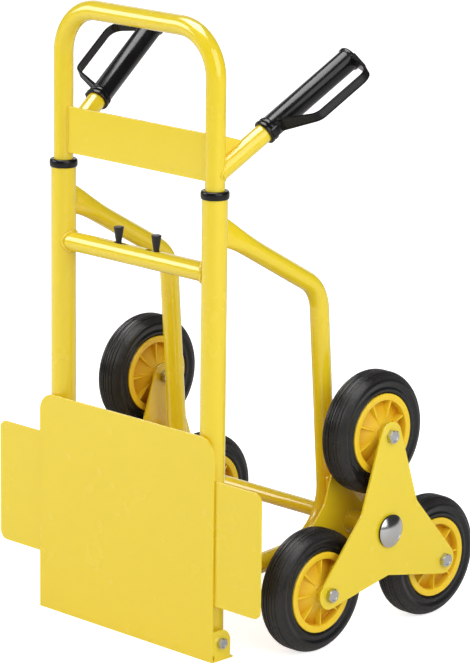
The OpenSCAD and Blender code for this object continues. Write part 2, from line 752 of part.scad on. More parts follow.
// Rings of points along a helix about X, joined into a closed wire
module lock_spring() color(ZINC) {
    steps = 14;
    sides = 6;
    from_x = stop_w / 2 + spring_wire / 2 + seat_gap;
    length = piston_x - stop_w / 2 - spring_wire - 2 * seat_gap;
    rings = steps * spring_turns;
    r = (spring_d - spring_wire) / 2;
    points = [for (i = [0 : rings], k = [0 : sides - 1]) let (
        a = 360 * i / steps,
        b = 360 * k / sides,
        out = r + spring_wire / 2 * cos(b)
    ) [from_x + length * i / rings + spring_wire / 2 * sin(b), out * cos(a), crossbar_z + out * sin(a)]];
    skin = [for (i = [0 : rings - 1], k = [0 : sides - 1]) let (m = (k + 1) % sides)
        [i * sides + k, (i + 1) * sides + k, (i + 1) * sides + m, i * sides + m]];
    first = [for (k = [0 : sides - 1]) k];
    last = [for (k = [0 : sides - 1]) rings * sides + sides - 1 - k];
    polyhedron(points, concat(skin, [first], [last]));
}

// ---- Toe plate ----

module toe_plate() color(YELLOW) difference() {
    half = toe_w / 2;
    union() {
        facing_front(toe_front_y, toe_t) polygon(rounded([
            [-half, 0, 0], [half, 0, 0], [half, toe_h, toe_corner], [-half, toe_h, toe_corner]
        ]));
        translate([-half, toe_front_y, 0]) cube([toe_w, heel_reach - toe_front_y, toe_t]);
        both_sides() along_x(half - toe_t, toe_t) {
            translate([toe_front_y, 0]) square([pivot_y + ear_r - toe_front_y, pivot_z]);
            intersection() {
                translate([pivot_y, pivot_z]) circle(r = ear_r);
                translate([pivot_y, 0]) square([ear_r, 2 * pivot_z]);
            }
            translate([toe_front_y, 0]) square([pivot_y - toe_front_y, pivot_z + ear_r]);
        }
    }
    both_sides() {
        translate([half - toe_t - cut, toe_front_y + toe_t, toe_t])
            cube([toe_t + 2 * cut, relief_w, relief_h]);
        bar_x(half - toe_t - cut, half + cut, pivot_bolt_d + 2 * run_gap, [pivot_y, pivot_z]);
    }
}

// ---- Stars ----

module star_plate(from_x) color(YELLOW) difference() {
    along_x(from_x, star_t) translate(axle) polygon(rounded([
        for (arm = [TOP, FRONT, REAR]) each [
            concat(polar(arm_apex_r, arm), star_tip_r),
            concat(polar(star_waist_r, arm + 60), star_waist_bend)
        ]
    ]));
    bar_x(from_x - cut, from_x + star_t + cut, axle_d + 2 * run_gap, axle);
    each_wheel() bar_x(from_x - cut, from_x + star_t + cut, wheel_bolt_d + 2 * seat_gap, [0, 0]);
}

module star_outer() star_plate(star_out_x);

module star_inner() star_plate(star_in_x);

module star_hub() color(YELLOW)
    ring_x(star_in_x + star_t, star_out_x, star_hub_d, axle_d + 2 * run_gap, axle);

module wheel_bolts() color(ZINC) each_wheel() {
    head_x = star_out_x + star_t;
    nut_h = wheel_bolt_d * nut_h_ratio;
    bar_x(star_in_x - nut_h - thread_end, head_x, wheel_bolt_d, [0, 0]);
    hexagon_x(head_x, wheel_bolt_d * bolt_head_h_ratio, wheel_bolt_d, [0, 0]);
}

module wheel_nuts() color(ZINC) each_wheel() difference() {
    nut_h = wheel_bolt_d * nut_h_ratio;
    hexagon_x(star_in_x - nut_h, nut_h, wheel_bolt_d, [0, 0]);
    bar_x(star_in_x - nut_h - cut, star_in_x + cut, wheel_bolt_d + 2 * seat_gap, [0, 0]);
}

module wheel_sleeves() color(ZINC) each_wheel()
    ring_x(star_in_x + star_t, star_out_x, sleeve_d, wheel_bolt_d + 2 * seat_gap, [0, 0]);

module wheel_spacers() color(RIM_YELLOW) each_wheel() for (from_x = [
    star_in_x + star_t, wheel_x + hub_w / 2 + face_gap
]) ring_x(from_x, from_x + hub_side_gap - face_gap, spacer_d, sleeve_d + 2 * seat_gap, [0, 0]);

// ---- Wheels ----

module turned_wheel(angle) {
    at = wheel_at(angle);
    translate([wheel_x, at.x, at.y]) rotate([0, 90, 0]) children();
}

module tyre(angle) color(RUBBER) turned_wheel(angle) rotate_extrude() polygon(rounded([
    [rim_d / 2 + seat_gap, -tyre_w / 2 + bead_in, 0], [rim_d / 2 + bead_up, -tyre_w / 2, bead_round],
    [wheel_d / 2, -tyre_w / 2, tyre_shoulder], [wheel_d / 2, tyre_w / 2, tyre_shoulder],
    [rim_d / 2 + bead_up, tyre_w / 2, bead_round], [rim_d / 2 + seat_gap, tyre_w / 2 - bead_in, 0]
]));

// A dished rim: outer ring, conical web, hub and radial ribs on both faces
module rim(angle, turn = 0) color(RIM_YELLOW) turned_wheel(angle) difference() {
    recess_r = rim_d / 2 - rim_ring;
    half = tyre_w / 2;
    union() {
        rotate_extrude() polygon([
            [0, -hub_w / 2], [hub_d / 2, -hub_w / 2], [hub_d / 2, hub_recess - half],
            [recess_r, rim_recess - half], [recess_r, -half], [rim_d / 2, -half],
            [rim_d / 2, half], [recess_r, half], [recess_r, half - rim_recess],
            [hub_d / 2, half - hub_recess], [hub_d / 2, hub_w / 2], [0, hub_w / 2]
        ]);
        for (k = [0 : rim_ribs - 1]) rotate([0, 0, 360 * k / rim_ribs + turn])
            translate([hub_d / 2 - rib_root, -rib_t / 2, -tyre_w / 2 + rib_drop])
                cube([recess_r - hub_d / 2 + 2 * rib_root, rib_t, tyre_w - 2 * rib_drop]);
    }
    translate([0, 0, -hub_w / 2 - cut]) cylinder(d = sleeve_d + 2 * run_gap, h = hub_w + 2 * cut);
}

on_side(-1) upright();  // upright_left
on_side(1) upright();  // upright_right
crossbar();
on_side(-1) leg();  // leg_left
on_side(1) leg();  // leg_right
axle_tube();
axle_gussets();
axle_bosses();
axle_rod();
axle_washers();
axle_caps();
guard_plate();
collars();
upright_plugs();
hinge_bolts();
hinge_spacers();
hinge_nuts();
spring_stop();
on_side(-1) lock_spring();  // lock_spring_left
on_side(1) lock_spring();  // lock_spring_right
handle_loop();
badge_plate();
on_side(-1) rear_tube();  // rear_tube_left
on_side(1) rear_tube();  // rear_tube_right
handle_gussets();
on_side(-1) grip();  // grip_left
on_side(1) grip();  // grip_right
slide_guides();
on_side(-1) knob();  // knob_left
on_side(1) knob();  // knob_right
on_side(-1) lock_rod();  // lock_rod_left
on_side(1) lock_rod();  // lock_rod_right
toe_plate();
on_side(-1) star_outer();  // star_outer_left
on_side(-1) star_inner();  // star_inner_left
on_side(-1) star_hub();  // star_hub_left
on_side(-1) wheel_bolts();  // wheel_bolts_left
on_side(-1) wheel_nuts();  // wheel_nuts_left
on_side(-1) wheel_sleeves();  // wheel_sleeves_left
on_side(-1) wheel_spacers();  // wheel_spacers_left
on_side(1) star_outer();  // star_outer_right
on_side(1) star_inner();  // star_inner_right
on_side(1) star_hub();  // star_hub_right
on_side(1) wheel_bolts();  // wheel_bolts_right
on_side(1) wheel_nuts();  // wheel_nuts_right
on_side(1) wheel_sleeves();  // wheel_sleeves_right
on_side(1) wheel_spacers();  // wheel_spacers_right
on_side(-1) tyre(TOP);  // tyre_left_top
on_side(-1) tyre(FRONT);  // tyre_left_front
on_side(-1) tyre(REAR);  // tyre_left_rear
on_side(1) tyre(TOP);  // tyre_right_top
on_side(1) tyre(FRONT);  // tyre_right_front
on_side(1) tyre(REAR);  // tyre_right_rear
on_side(-1) rim(TOP);  // rim_left_top
on_side(-1) rim(FRONT);  // rim_left_front
on_side(-1) rim(REAR);  // rim_left_rear
on_side(1) rim(TOP, rib_turn);  // rim_right_top
on_side(1) rim(FRONT);  // rim_right_front
on_side(1) rim(REAR);  // rim_right_rear
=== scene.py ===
"""Looks of a folding stair-climbing hand truck: coated steel frame, dished wheels, rubber tyres and grips."""

from __future__ import annotations

import json
import logging
import math
from dataclasses import dataclass, field
from enum import Enum
from typing import Callable, Iterable, Sequence

import bmesh
import bpy
from mathutils import Matrix, Vector

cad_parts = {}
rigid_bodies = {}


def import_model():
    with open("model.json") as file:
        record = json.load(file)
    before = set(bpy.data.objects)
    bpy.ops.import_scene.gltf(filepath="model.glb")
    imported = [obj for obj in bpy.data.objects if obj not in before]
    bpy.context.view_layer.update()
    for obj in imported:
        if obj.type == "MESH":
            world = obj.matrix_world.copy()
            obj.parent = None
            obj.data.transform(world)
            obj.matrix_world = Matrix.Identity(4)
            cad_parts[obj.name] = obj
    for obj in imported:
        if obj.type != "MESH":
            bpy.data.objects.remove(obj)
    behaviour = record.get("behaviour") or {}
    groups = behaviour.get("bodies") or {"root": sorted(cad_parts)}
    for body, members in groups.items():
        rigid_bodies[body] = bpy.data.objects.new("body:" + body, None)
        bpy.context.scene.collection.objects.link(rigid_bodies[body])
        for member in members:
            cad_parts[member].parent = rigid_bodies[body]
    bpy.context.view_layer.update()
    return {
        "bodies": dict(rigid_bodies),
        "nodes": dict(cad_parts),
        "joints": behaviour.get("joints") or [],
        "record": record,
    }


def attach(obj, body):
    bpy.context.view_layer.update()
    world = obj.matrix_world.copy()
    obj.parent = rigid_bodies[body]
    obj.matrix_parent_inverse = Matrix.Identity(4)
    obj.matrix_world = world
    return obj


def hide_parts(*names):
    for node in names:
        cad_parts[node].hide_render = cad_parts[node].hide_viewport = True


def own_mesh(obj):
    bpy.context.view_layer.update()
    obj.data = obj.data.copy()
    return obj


LOG = logging.getLogger("hand_truck")
MM = 0.001
Point2 = tuple[float, float]
Colour = tuple[float, float, float]
Shape = bmesh.types.BMesh
Socket = bpy.types.NodeSocket

# Sizes that several pieces share, in millimetres and degrees.
AXLE_Y, AXLE_Z = 218.5, 142.5
UPRIGHT_X, UPRIGHT_RADIUS = 136.5, 16.0
TUBE_RADIUS = 12.5
CROSSBAR_Z = 495.5
HANDLE_Z, HANDLE_RISE, HANDLE_SPLAY = 620.0, 32.5, 11.2

# Edges sharper than these stay crisp, in degrees.
SHARP_PLATE, SHARP_HEXAGON, SHARP_GRIP, SHARP_USUAL, SHARP_TURNED, SHARP_ROUND = 20.0, 24.0, 34.0, 38.0, 50.0, 60.0


class Side(Enum):
    """A side of the truck, as the sign of its X."""

    LEFT = -1
    RIGHT = 1

    @property
    def word(self) -> str:
        """The side as it stands in a body's or node's name."""
        return self.name.lower()

    @property
    def flip(self) -> Matrix:
        """The matrix that takes the right side's shapes to this side."""
        return Matrix.Scale(self.value, 4, (1, 0, 0))


class Slot(Enum):
    """The record's material slots."""

    COAT = "yellow_coat"
    RIM = "yellow_plastic"
    TYRE = "tyre_rubber"
    GRIP = "black_grip"
    PLASTIC = "black_plastic"
    ZINC = "zinc_steel"
    CHROME = "chrome_cap"


class WheelPlace(Enum):
    """A wheel's place on its star, as its angle from the rear towards the top, in degrees."""

    TOP = 90
    FRONT = 210
    REAR = 330

    @property
    def word(self) -> str:
        """The place as it stands in a body's or node's name."""
        return self.name.lower()


# ---- Shader node groups and finishes ----


@dataclass
class Recipe:
    """Adds nodes to a material or a node group, and links or sets their inputs."""

    tree: bpy.types.NodeTree

    def feed(self, node: bpy.types.Node, inputs: dict) -> None:
        """Links sockets to a node's inputs, or sets their values.

        Args:
            node: The node.
            inputs: Values or sockets, by the input's name or number.
        """
        for key, value in inputs.items():
            entry = node.inputs[key]
            if isinstance(value, Socket):
                self.tree.links.new(value, entry)
            else:
                entry.default_value = (*value, 1.0) if entry.type == "RGBA" else value

    def add(self, kind: str, inputs: dict | None = None, **settings) -> bpy.types.Node:
        """Adds one node.

        Args:
            kind: The node's type, such as ShaderNodeMath.
            inputs: Values or sockets, by the input's name or number.
            settings: The node's own settings.

        Returns:
            The new node.
        """
        node = self.tree.nodes.new(kind)
        for key, value in settings.items():
            setattr(node, key, value)
        self.feed(node, inputs or {})
        return node

    def math(self, operation: str, a, b) -> Socket:
        """The result of a Math node on two values or sockets."""
        return self.add("ShaderNodeMath", {0: a, 1: b}, operation=operation).outputs[0]

    def times(self, first, *others) -> Socket:
        """The product of values or sockets."""
        for other in others:
            first = self.math("MULTIPLY", first, other)
        return first

    def spread(self, value, low: float, high: float, to_low: float = 0.0, to_high: float = 1.0) -> Socket:
        """A value moved smoothly from one range to another and kept inside it."""
        ends = {"Value": value, "From Min": low, "From Max": high, "To Min": to_low, "To Max": to_high}
        return self.add("ShaderNodeMapRange", ends, interpolation_type="SMOOTHSTEP").outputs["Result"]

    def mix(self, factor, a: Colour | Socket, b: Colour | Socket) -> Socket:
        """A colour between a and b."""
        return self.add("ShaderNodeMix", {0: factor, 6: a, 7: b}, data_type="RGBA").outputs[2]

    def place(self) -> Socket:
        """The point's own place on the object, in metres."""
        return self.add("ShaderNodeTexCoord").outputs["Object"]

    def cells(self, scale, output: str, feature: str = "F1") -> Socket:
        """Cells on Object coordinates, read as a distance or a colour."""
        where = {"Vector": self.place(), "Scale": scale}
        return self.add("ShaderNodeTexVoronoi", where, feature=feature).outputs[output]

    def rays(self) -> tuple[Socket, Socket]:
        """Whether a ray is seen straight or through something clear, and whether it is a reflection."""
        light = self.add("ShaderNodeLightPath").outputs
        return self.math("MAXIMUM", light["Is Camera Ray"], light["Is Transmission Ray"]), light["Is Glossy Ray"]

    def zone(self) -> Socket:
        """How far the point belongs to its finish's second zone, which the mesh carries."""
        return self.add("ShaderNodeAttribute", attribute_name="Zone").outputs["Fac"]

    def noise(self, scale, detail: float = 3.0, stretch: Sequence[float] | None = None) -> Socket:
        """Noise on Object coordinates.

        Args:
            scale: How many patches fit in a metre, or a socket.
            detail: Finer layers on top.
            stretch: Scale along each axis.

        Returns:
            The noise value's socket.
        """
        where = self.place()
        if stretch is not None:
            where = self.add("ShaderNodeMapping", {"Vector": where, "Scale": stretch}).outputs[0]
        return self.add("ShaderNodeTexNoise", {"Vector": where, "Scale": scale, "Detail": detail}).outputs["Fac"]


def blank(block: bpy.types.Material | bpy.types.World) -> Recipe:
    """Clears a material's or a world's nodes and starts its recipe."""
    block.use_nodes = True
    block.node_tree.nodes.clear()
    return Recipe(block.node_tree)


def into_scene(name: str, data: bpy.types.ID) -> bpy.types.Object:
    """A new object in the scene, with its mesh, camera or lamp."""
    made = bpy.data.objects.new(name, data)
    bpy.context.scene.collection.objects.link(made)
    return made


def node_group(name: str, inputs: dict[str, float], output: str, fill: Callable) -> bpy.types.NodeTree:
    """Makes a shader node group with float inputs and one float output.

    Args:
        name: The group's name.
        inputs: Its inputs with their usual values.
        output: The output's name.
        fill: Called with a Recipe and the input sockets; returns the output's socket.

    Returns:
        The group.
    """
    tree = bpy.data.node_groups.new(name, "ShaderNodeTree")
    for label, value in inputs.items():
        tree.interface.new_socket(label, in_out="INPUT", socket_type="NodeSocketFloat").default_value = value
    tree.interface.new_socket(output, in_out="OUTPUT", socket_type="NodeSocketFloat")
    entry, leave = tree.nodes.new("NodeGroupInput"), tree.nodes.new("NodeGroupOutput")
    tree.links.new(fill(Recipe(tree), entry.outputs), leave.inputs[output])
    return tree


@dataclass
class Effects:
    """The surface effects that several finishes share."""

    groups: dict[str, bpy.types.NodeTree] = field(default_factory=dict)

    def build(self) -> None:
        """Makes every group once."""
        self.groups["mottle"] = node_group("Mottle", {"Scale": 6.0, "Contrast": 0.5}, "Mask", self._mottle)
        self.groups["peel"] = node_group("OrangePeel", {"Scale": 900.0}, "Height", self._peel)
        self.groups["dust"] = node_group("SettledDust", {"Amount": 0.3}, "Mask", self._dust)
        self.groups["scuff"] = node_group("Scuffs", {"Scale": 40.0, "Amount": 0.2}, "Mask", self._scuff)
        self.groups["grain"] = node_group("MouldedGrain", {"Scale": 1500.0}, "Height", self._grain)

    def use(self, recipe: Recipe, name: str, **values: float) -> Socket:
        """Places a group in a material.

        Args:
            recipe: The material's recipe.
            name: The group's short name.
            values: Its inputs' values.

        Returns:
            The group's output socket.
        """
        node = recipe.add("ShaderNodeGroup", node_tree=self.groups[name])
        recipe.feed(node, values)
        return node.outputs[0]

    @staticmethod
    def _mottle(recipe: Recipe, inputs) -> Socket:
        """Broad, soft patches."""
        broad, half = recipe.noise(inputs["Scale"], 4.0), recipe.times(inputs["Contrast"], 0.5)
        low, high = recipe.math("SUBTRACT", 0.5, half), recipe.math("ADD", 0.5, half)
        return recipe.add("ShaderNodeMapRange", {"Value": broad, "From Min": low, "From Max": high}).outputs["Result"]

    @staticmethod
    def _peel(recipe: Recipe, inputs) -> Socket:
        """The shallow dimples of a sprayed and baked coat."""
        coarse = recipe.noise(inputs["Scale"], 1.0)
        fine = recipe.noise(recipe.times(inputs["Scale"], 3.1), 2.0)
        return recipe.math("ADD", recipe.times(coarse, 0.75), recipe.times(fine, 0.25))

    @staticmethod
    def _dust(recipe: Recipe, inputs) -> Socket:
        """Fine dust that settles on faces that look up, in loose patches."""
        normal = recipe.add("ShaderNodeNewGeometry").outputs["Normal"]
        up = recipe.add("ShaderNodeSeparateXYZ", {0: normal}).outputs[2]
        patches = recipe.spread(recipe.noise(55.0, 5.0), 0.42, 0.68, 0.25)
        return recipe.times(recipe.spread(up, 0.35, 1.0), patches, inputs["Amount"])

    @staticmethod
    def _scuff(recipe: Recipe, inputs) -> Socket:
        """Thin, broken rub marks."""
        edges = recipe.cells(inputs["Scale"], "Distance", "DISTANCE_TO_EDGE")
        lines = recipe.spread(edges, 0.0, 0.012, 1.0, 0.0)
        return recipe.times(lines, recipe.spread(recipe.noise(70.0), 0.56, 0.7), inputs["Amount"])

    @staticmethod
    def _grain(recipe: Recipe, inputs) -> Socket:
        """The fine spark-eroded grain of a moulding tool."""
        cells = recipe.cells(inputs["Scale"], "Distance", "SMOOTH_F1")
        return recipe.math("ADD", cells, recipe.noise(inputs["Scale"], 1.0))


@dataclass(frozen=True)
class Finish:
    """What every finish has: a name, a colour, its shadowed or worn second colour, gloss and bump."""

    name: str
    colour: Colour
    second: Colour
    roughness: tuple[float, float]
    bump: float

    def build(self, effects: Effects) -> bpy.types.Material:
        """Makes the material.

        Args:
            effects: The shared effects.

        Returns:
            The material.
        """
        material = bpy.data.materials.new(self.name)
        material.diffuse_color = (*self.colour, 1.0)
        recipe = blank(material)
        inputs, height, depth = self.surface(recipe, effects)
        relief = recipe.add("ShaderNodeBump", {"Height": height, "Strength": self.bump, "Distance": depth})
        shader = recipe.add("ShaderNodeBsdfPrincipled", {**inputs, "Normal": relief.outputs[0]})
        recipe.add("ShaderNodeOutputMaterial", {"Surface": shader.outputs[0]})
        return material

    def surface(self, recipe: Recipe, effects: Effects) -> tuple[dict, Socket, float]:
        """The finish's own part.

        Args:
            recipe: The material's recipe.
            effects: The shared effects.

        Returns:
            The shader's inputs, the relief's height and its depth in metres.
        """
        raise NotImplementedError


@dataclass(frozen=True)
class BakedCoat(Finish):
    """Glossy baked coat on steel, with orange peel, faint mottling, thin dust and a few rub marks."""

    clear: float = 0.8
    drifted: Colour = (0.85, 0.68, 0.06)
    rubbed: Colour = (0.74, 0.60, 0.14)
    dusty: Colour = (0.78, 0.72, 0.45)
    bounced: Colour = (0.93, 0.52, 0.01)

    def surface(self, recipe: Recipe, effects: Effects) -> tuple[dict, Socket, float]:
        """The coat; the light that it throws on other pieces is painted warmer than its own colour, which paints amber
        shade on them.
        """
        mottle = effects.use(recipe, "mottle", Scale=5.0, Contrast=0.9)
        drift = effects.use(recipe, "mottle", Scale=30.0, Contrast=0.9)
        scuff = effects.use(recipe, "scuff", Scale=34.0, Amount=0.06)
        dust = effects.use(recipe, "dust", Amount=0.03)
        tone = recipe.mix(recipe.times(mottle, 0.5), self.colour, self.second)
        tone = recipe.mix(recipe.times(drift, 0.08), tone, self.drifted)
        tone = recipe.mix(scuff, tone, self.rubbed)
        tone = recipe.mix(dust, tone, self.dusty)
        # Painted shade: diffuse bounces see a warmer, more orange coat, so shaded pieces near it turn amber.
        tone = recipe.mix(recipe.add("ShaderNodeLightPath").outputs["Is Diffuse Ray"], tone, self.bounced)
        rough = recipe.spread(drift, 0.0, 1.0, *self.roughness)
        rough = recipe.math("ADD", rough, recipe.times(recipe.math("ADD", scuff, dust), 0.4))
        inputs = {"Base Color": tone, "Roughness": rough, "Specular IOR Level": 0.35}
        inputs |= {"Coat Weight": self.clear, "Coat Roughness": 0.07}
        return inputs, effects.use(recipe, "peel", Scale=650.0), 0.0004


@dataclass(frozen=True)
class Moulding(Finish):
    """Injection-moulded plastic: grain, faint flow streaks, dust, and painted shade that deepens the tone in its
    pockets.
    """

    grain: float = 1800.0
    streak: float = 0.25
    dusty: float = 0.03
    shine: float = 0.4
    # Painted shade: the colour that the deepest parts of a pocket darken to.
    deep: Colour = (0.0, 0.0, 0.0)
    soiled: Colour = (0.30, 0.29, 0.25)

    def surface(self, recipe: Recipe, effects: Effects) -> tuple[dict, Socket, float]:
        """The moulding; its zone is how deep a point lies in a pocket, and there it takes the painted pocket shade."""
        flow = recipe.spread(recipe.noise(16.0, 4.0, stretch=(3.0, 1.0, 1.0)), 0.35, 0.65)
        mottle = effects.use(recipe, "mottle", Scale=60.0, Contrast=0.5)
        dust = effects.use(recipe, "dust", Amount=self.dusty)
        scuff = effects.use(recipe, "scuff", Scale=60.0, Amount=0.05)
        tone = recipe.mix(recipe.times(flow, self.streak), self.colour, self.second)
        tone = recipe.mix(recipe.times(mottle, 0.15), tone, self.second)
        tone = recipe.mix(recipe.math("MAXIMUM", dust, scuff), tone, self.soiled)
        # Painted shade: the tone darkens and turns orange deep in the pockets.
        tone = recipe.mix(recipe.zone(), tone, self.deep)
        rough = recipe.math("ADD", recipe.spread(mottle, 0.0, 1.0, *self.roughness), recipe.times(dust, 0.5))
        inputs = {"Base Color": tone, "Roughness": rough, "Specular IOR Level": self.shine}
        return inputs, effects.use(recipe, "grain", Scale=self.grain), 0.0002


@dataclass(frozen=True)
class TyreRubber(Finish):
    """Solid black rubber with a greyish bloom, dusty tread and rubbed shoulders."""

    flecked: Colour = (0.030, 0.030, 0.034)
    soiled: Colour = (0.12, 0.115, 0.10)
    worn: Colour = (0.021, 0.020, 0.019)

    def surface(self, recipe: Recipe, effects: Effects) -> tuple[dict, Socket, float]:
        """The rubber; its zone is how far a point belongs to the worn tread."""
        bloom = effects.use(recipe, "mottle", Scale=22.0, Contrast=0.5)
        fleck = recipe.spread(recipe.noise(420.0, 2.0), 0.5, 0.75)
        dust = effects.use(recipe, "dust", Amount=0.03)
        scuff = effects.use(recipe, "scuff", Scale=80.0, Amount=0.08)
        tone = recipe.mix(recipe.times(bloom, 0.7), self.colour, self.second)
        tone = recipe.mix(recipe.times(fleck, 0.12), tone, self.flecked)
        tone = recipe.mix(recipe.math("MAXIMUM", dust, scuff), tone, self.soiled)
        tone = recipe.mix(recipe.times(recipe.zone(), 0.7), tone, self.worn)
        rough = recipe.math("ADD", recipe.spread(bloom, 0.0, 1.0, *self.roughness), recipe.times(dust, 0.5))
        inputs = {"Base Color": tone, "Roughness": rough, "Specular IOR Level": 0.40}
        return inputs, effects.use(recipe, "grain", Scale=1300.0), 0.0003


@dataclass(frozen=True)
class Plating(Finish):
    """Plated metal: bright zinc with a fine spangle, or polished chrome with faint haze."""

    spangle: float = 260.0

    def surface(self, recipe: Recipe, effects: Effects) -> tuple[dict, Socket, float]:
        """The plating."""
        shade = recipe.add("ShaderNodeSeparateXYZ", {0: recipe.cells(self.spangle, "Color")}).outputs[0]
        haze = effects.use(recipe, "mottle", Scale=90.0, Contrast=0.6)
        tone = recipe.mix(recipe.times(shade, 0.5), self.colour, self.second)
        tone = recipe.mix(recipe.times(haze, 0.25), tone, self.second)
        rough = recipe.spread(haze, 0.0, 1.0, *self.roughness)
        inputs = {"Base Color": tone, "Roughness": rough, "Metallic": 1.0}
        return inputs, effects.use(recipe, "peel", Scale=1500.0), 0.0001


FINISHES: dict[Slot, Finish] = {
    Slot.COAT: BakedCoat("YellowBakedCoat", (0.82, 0.635, 0.015), (0.78, 0.590, 0.013), (0.20, 0.30), 0.05),
    # The rim's deep colour is painted shade in its pockets.
    Slot.RIM: Moulding(
        "YellowNylon", (0.86, 0.60, 0.022), (0.82, 0.545, 0.018), (0.26, 0.38), 0.10, deep=(0.62, 0.30, 0.006)
    ),
    Slot.TYRE: TyreRubber("TyreRubber", (0.005, 0.0055, 0.007), (0.010, 0.011, 0.013), (0.22, 0.34), 0.12),
    Slot.GRIP: Moulding(
        "GlossyGripRubber", (0.006, 0.006, 0.007), (0.011, 0.011, 0.013), (0.17, 0.25), 0.03, 1400.0,
        dusty=0.01, shine=0.30,
    ),
    Slot.PLASTIC: Moulding("BlackNylon", (0.010, 0.010, 0.011), (0.020, 0.020, 0.020), (0.38, 0.52), 0.2, 1600.0),
    Slot.ZINC: Plating("BrightZinc", (0.56, 0.57, 0.60), (0.40, 0.42, 0.45), (0.18, 0.30), 0.2),
    Slot.CHROME: Plating("PolishedChrome", (0.56, 0.56, 0.57), (0.50, 0.50, 0.51), (0.15, 0.21), 0.04, 900.0),
}  # fmt: skip


# ---- Shapes, in millimetres until a piece is finished ----


def shift(x: float = 0.0, y: float = 0.0, z: float = 0.0) -> Matrix:
    """A move, in millimetres."""
    return Matrix.Translation((x, y, z))


def spin(degrees: float, axis: str) -> Matrix:
    """A turn about a named axis."""
    return Matrix.Rotation(math.radians(degrees), 4, axis)


def standing(origin: Sequence[float], right: Vector, front: Vector, along: Vector) -> Matrix:
    """The matrix that takes X, Y and Z to three directions at a point.

    Args:
        origin: The point.
        right: Where X goes.
        front: Where Y goes.
        along: Where Z goes.

    Returns:
        The 4x4 matrix.
    """
    return Matrix.Translation(origin) @ Matrix((right, front, along)).transposed().to_4x4()


def bevelled(shape: Shape, width: float, degrees: float = 30.0, segments: int = 2) -> Shape:
    """Rounds a shape's sharp edges.

    Args:
        shape: The shape.
        width: The bevel's offset.
        degrees: Edges sharper than this are rounded.
        segments: Faces across the bevel.

    Returns:
        The same shape.
    """
    limit = math.radians(degrees)
    sharp = [e for e in shape.edges if len(e.link_faces) == 2 and e.calc_face_angle(0.0) > limit]
    way = {"offset_type": "OFFSET", "affect": "EDGES", "profile": 0.5, "material": -1, "clamp_overlap": True}
    bmesh.ops.bevel(shape, geom=sharp, offset=width, segments=segments, **way)
    return shape


def skinned(rings: Sequence[Sequence[Vector]], closed: bool = False) -> Shape:
    """Joins a row of rings into one skin.

    Args:
        rings: Rings of as many points each; one whose points coincide makes a tip.
        closed: Whether the last ring joins the first. Otherwise the ends are flat faces.

    Returns:
        The shape.
    """
    shape = bmesh.new()
    rows = [[shape.verts.new(point) for point in ring] for ring in rings]
    for row, beyond in zip(rows, rows[1:] + (rows[:1] if closed else [])):
        for k in range(len(row)):
            shape.faces.new((row[k], beyond[k], beyond[k - 1], row[k - 1]))
    if not closed:
        shape.faces.new(rows[0])
        shape.faces.new(rows[-1])
    bmesh.ops.remove_doubles(shape, verts=shape.verts, dist=1e-4)
    bmesh.ops.recalc_face_normals(shape, faces=shape.faces)
    return shape


def hoop(x: float, y: float, z: float, radius: float, steps: int) -> list[Vector]:
    """Points on a circle about an axis along X."""
    angles = (math.tau * k / steps for k in range(steps))
    return [Vector((x, y + radius * math.cos(a), z + radius * math.sin(a))) for a in angles]


def turned(outline: Sequence[Point2], steps: int = 96, ring: bool = False) -> Shape:
    """Turns an outline about X.

    Args:
        outline: Points of (along X, radius). A solid's outline starts and ends on the axis.
        steps: Faces around.
        ring: Whether the outline is closed and clear of the axis.

    Returns:
        The turned shape.
    """
    return skinned([hoop(along, 0.0, 0.0, radius, steps) for along, radius in outline], ring)


def swept(section: Sequence[Point2], stations: Sequence[Matrix], closed: bool = False) -> Shape:
    """Carries a section along a row of stations.

    Args:
        section: The section's points in a station's X and Y.
        stations: Where the section stands, one after another.
        closed: Whether the last station joins the first.

    Returns:
        The swept shape, with flat ends if it is open.
    """
    return skinned([[station @ Vector((x, y, 0.0)) for x, y in section] for station in stations], closed)


def softened(node: str, width: float, degrees: float = 40.0) -> Shape:
    """A copy of a CAD node's mesh with its edges rounded.

    Args:
        node: The CAD node's name.
        width: The rounding's width.
        degrees: Edges sharper than this are rounded.

    Returns:
        The rounded copy.
    """
    shape = bmesh.new()
    shape.from_mesh(bpy.data.objects[node].data)
    bmesh.ops.scale(shape, vec=(1 / MM,) * 3, verts=shape.verts)
    bmesh.ops.remove_doubles(shape, verts=shape.verts, dist=0.002)
    bmesh.ops.dissolve_limit(
        shape, angle_limit=math.radians(1.0), verts=shape.verts, edges=shape.edges, use_dissolve_boundaries=False
    )
    return bevelled(shape, width, degrees)


def hexagon(across: float, height: float, bore: float = 0.0) -> Shape:
    """A bolt's head or a nut along X, its corners cut back by a cone as on a turned hexagon.

    Args:
        across: Width across the flats.
        height: Height along X, from 0.
        bore: Diameter of a nut's hole, or 0 for a head. A nut is chamfered at both ends.

    Returns:
        The shape.
    """
    crown, slope, lead = across / 2 * 0.97, 0.55, 0.5
    angles = [math.tau * k / 72 for k in range(72)]

    def ring(x: float, radius: float = 0.0, cut: float = 0.0) -> list[Vector]:
        """A round ring, or a hexagonal one whose corners stand back or forth."""
        points = []
        for a in angles:
            reach = across / 2 / math.cos((a + math.pi / 6) % (math.pi / 3) - math.pi / 6)
            r = radius or reach
            points.append(Vector((x + (reach - crown) * cut, r * math.cos(a), r * math.sin(a))))
        return points

    rings = [ring(0.0, cut=slope if bore else 0.0), ring(height, cut=-slope), ring(height, crown)]
    if bore:
        r = bore / 2
        rings += [ring(height, r + lead), ring(height - lead, r), ring(lead, r), ring(0.0, r + lead), ring(0.0, crown)]
    else:
        rings += [ring(height, crown * 0.72), ring(height - 0.35, crown * 0.66)]
    return skinned(rings, closed=bore > 0)


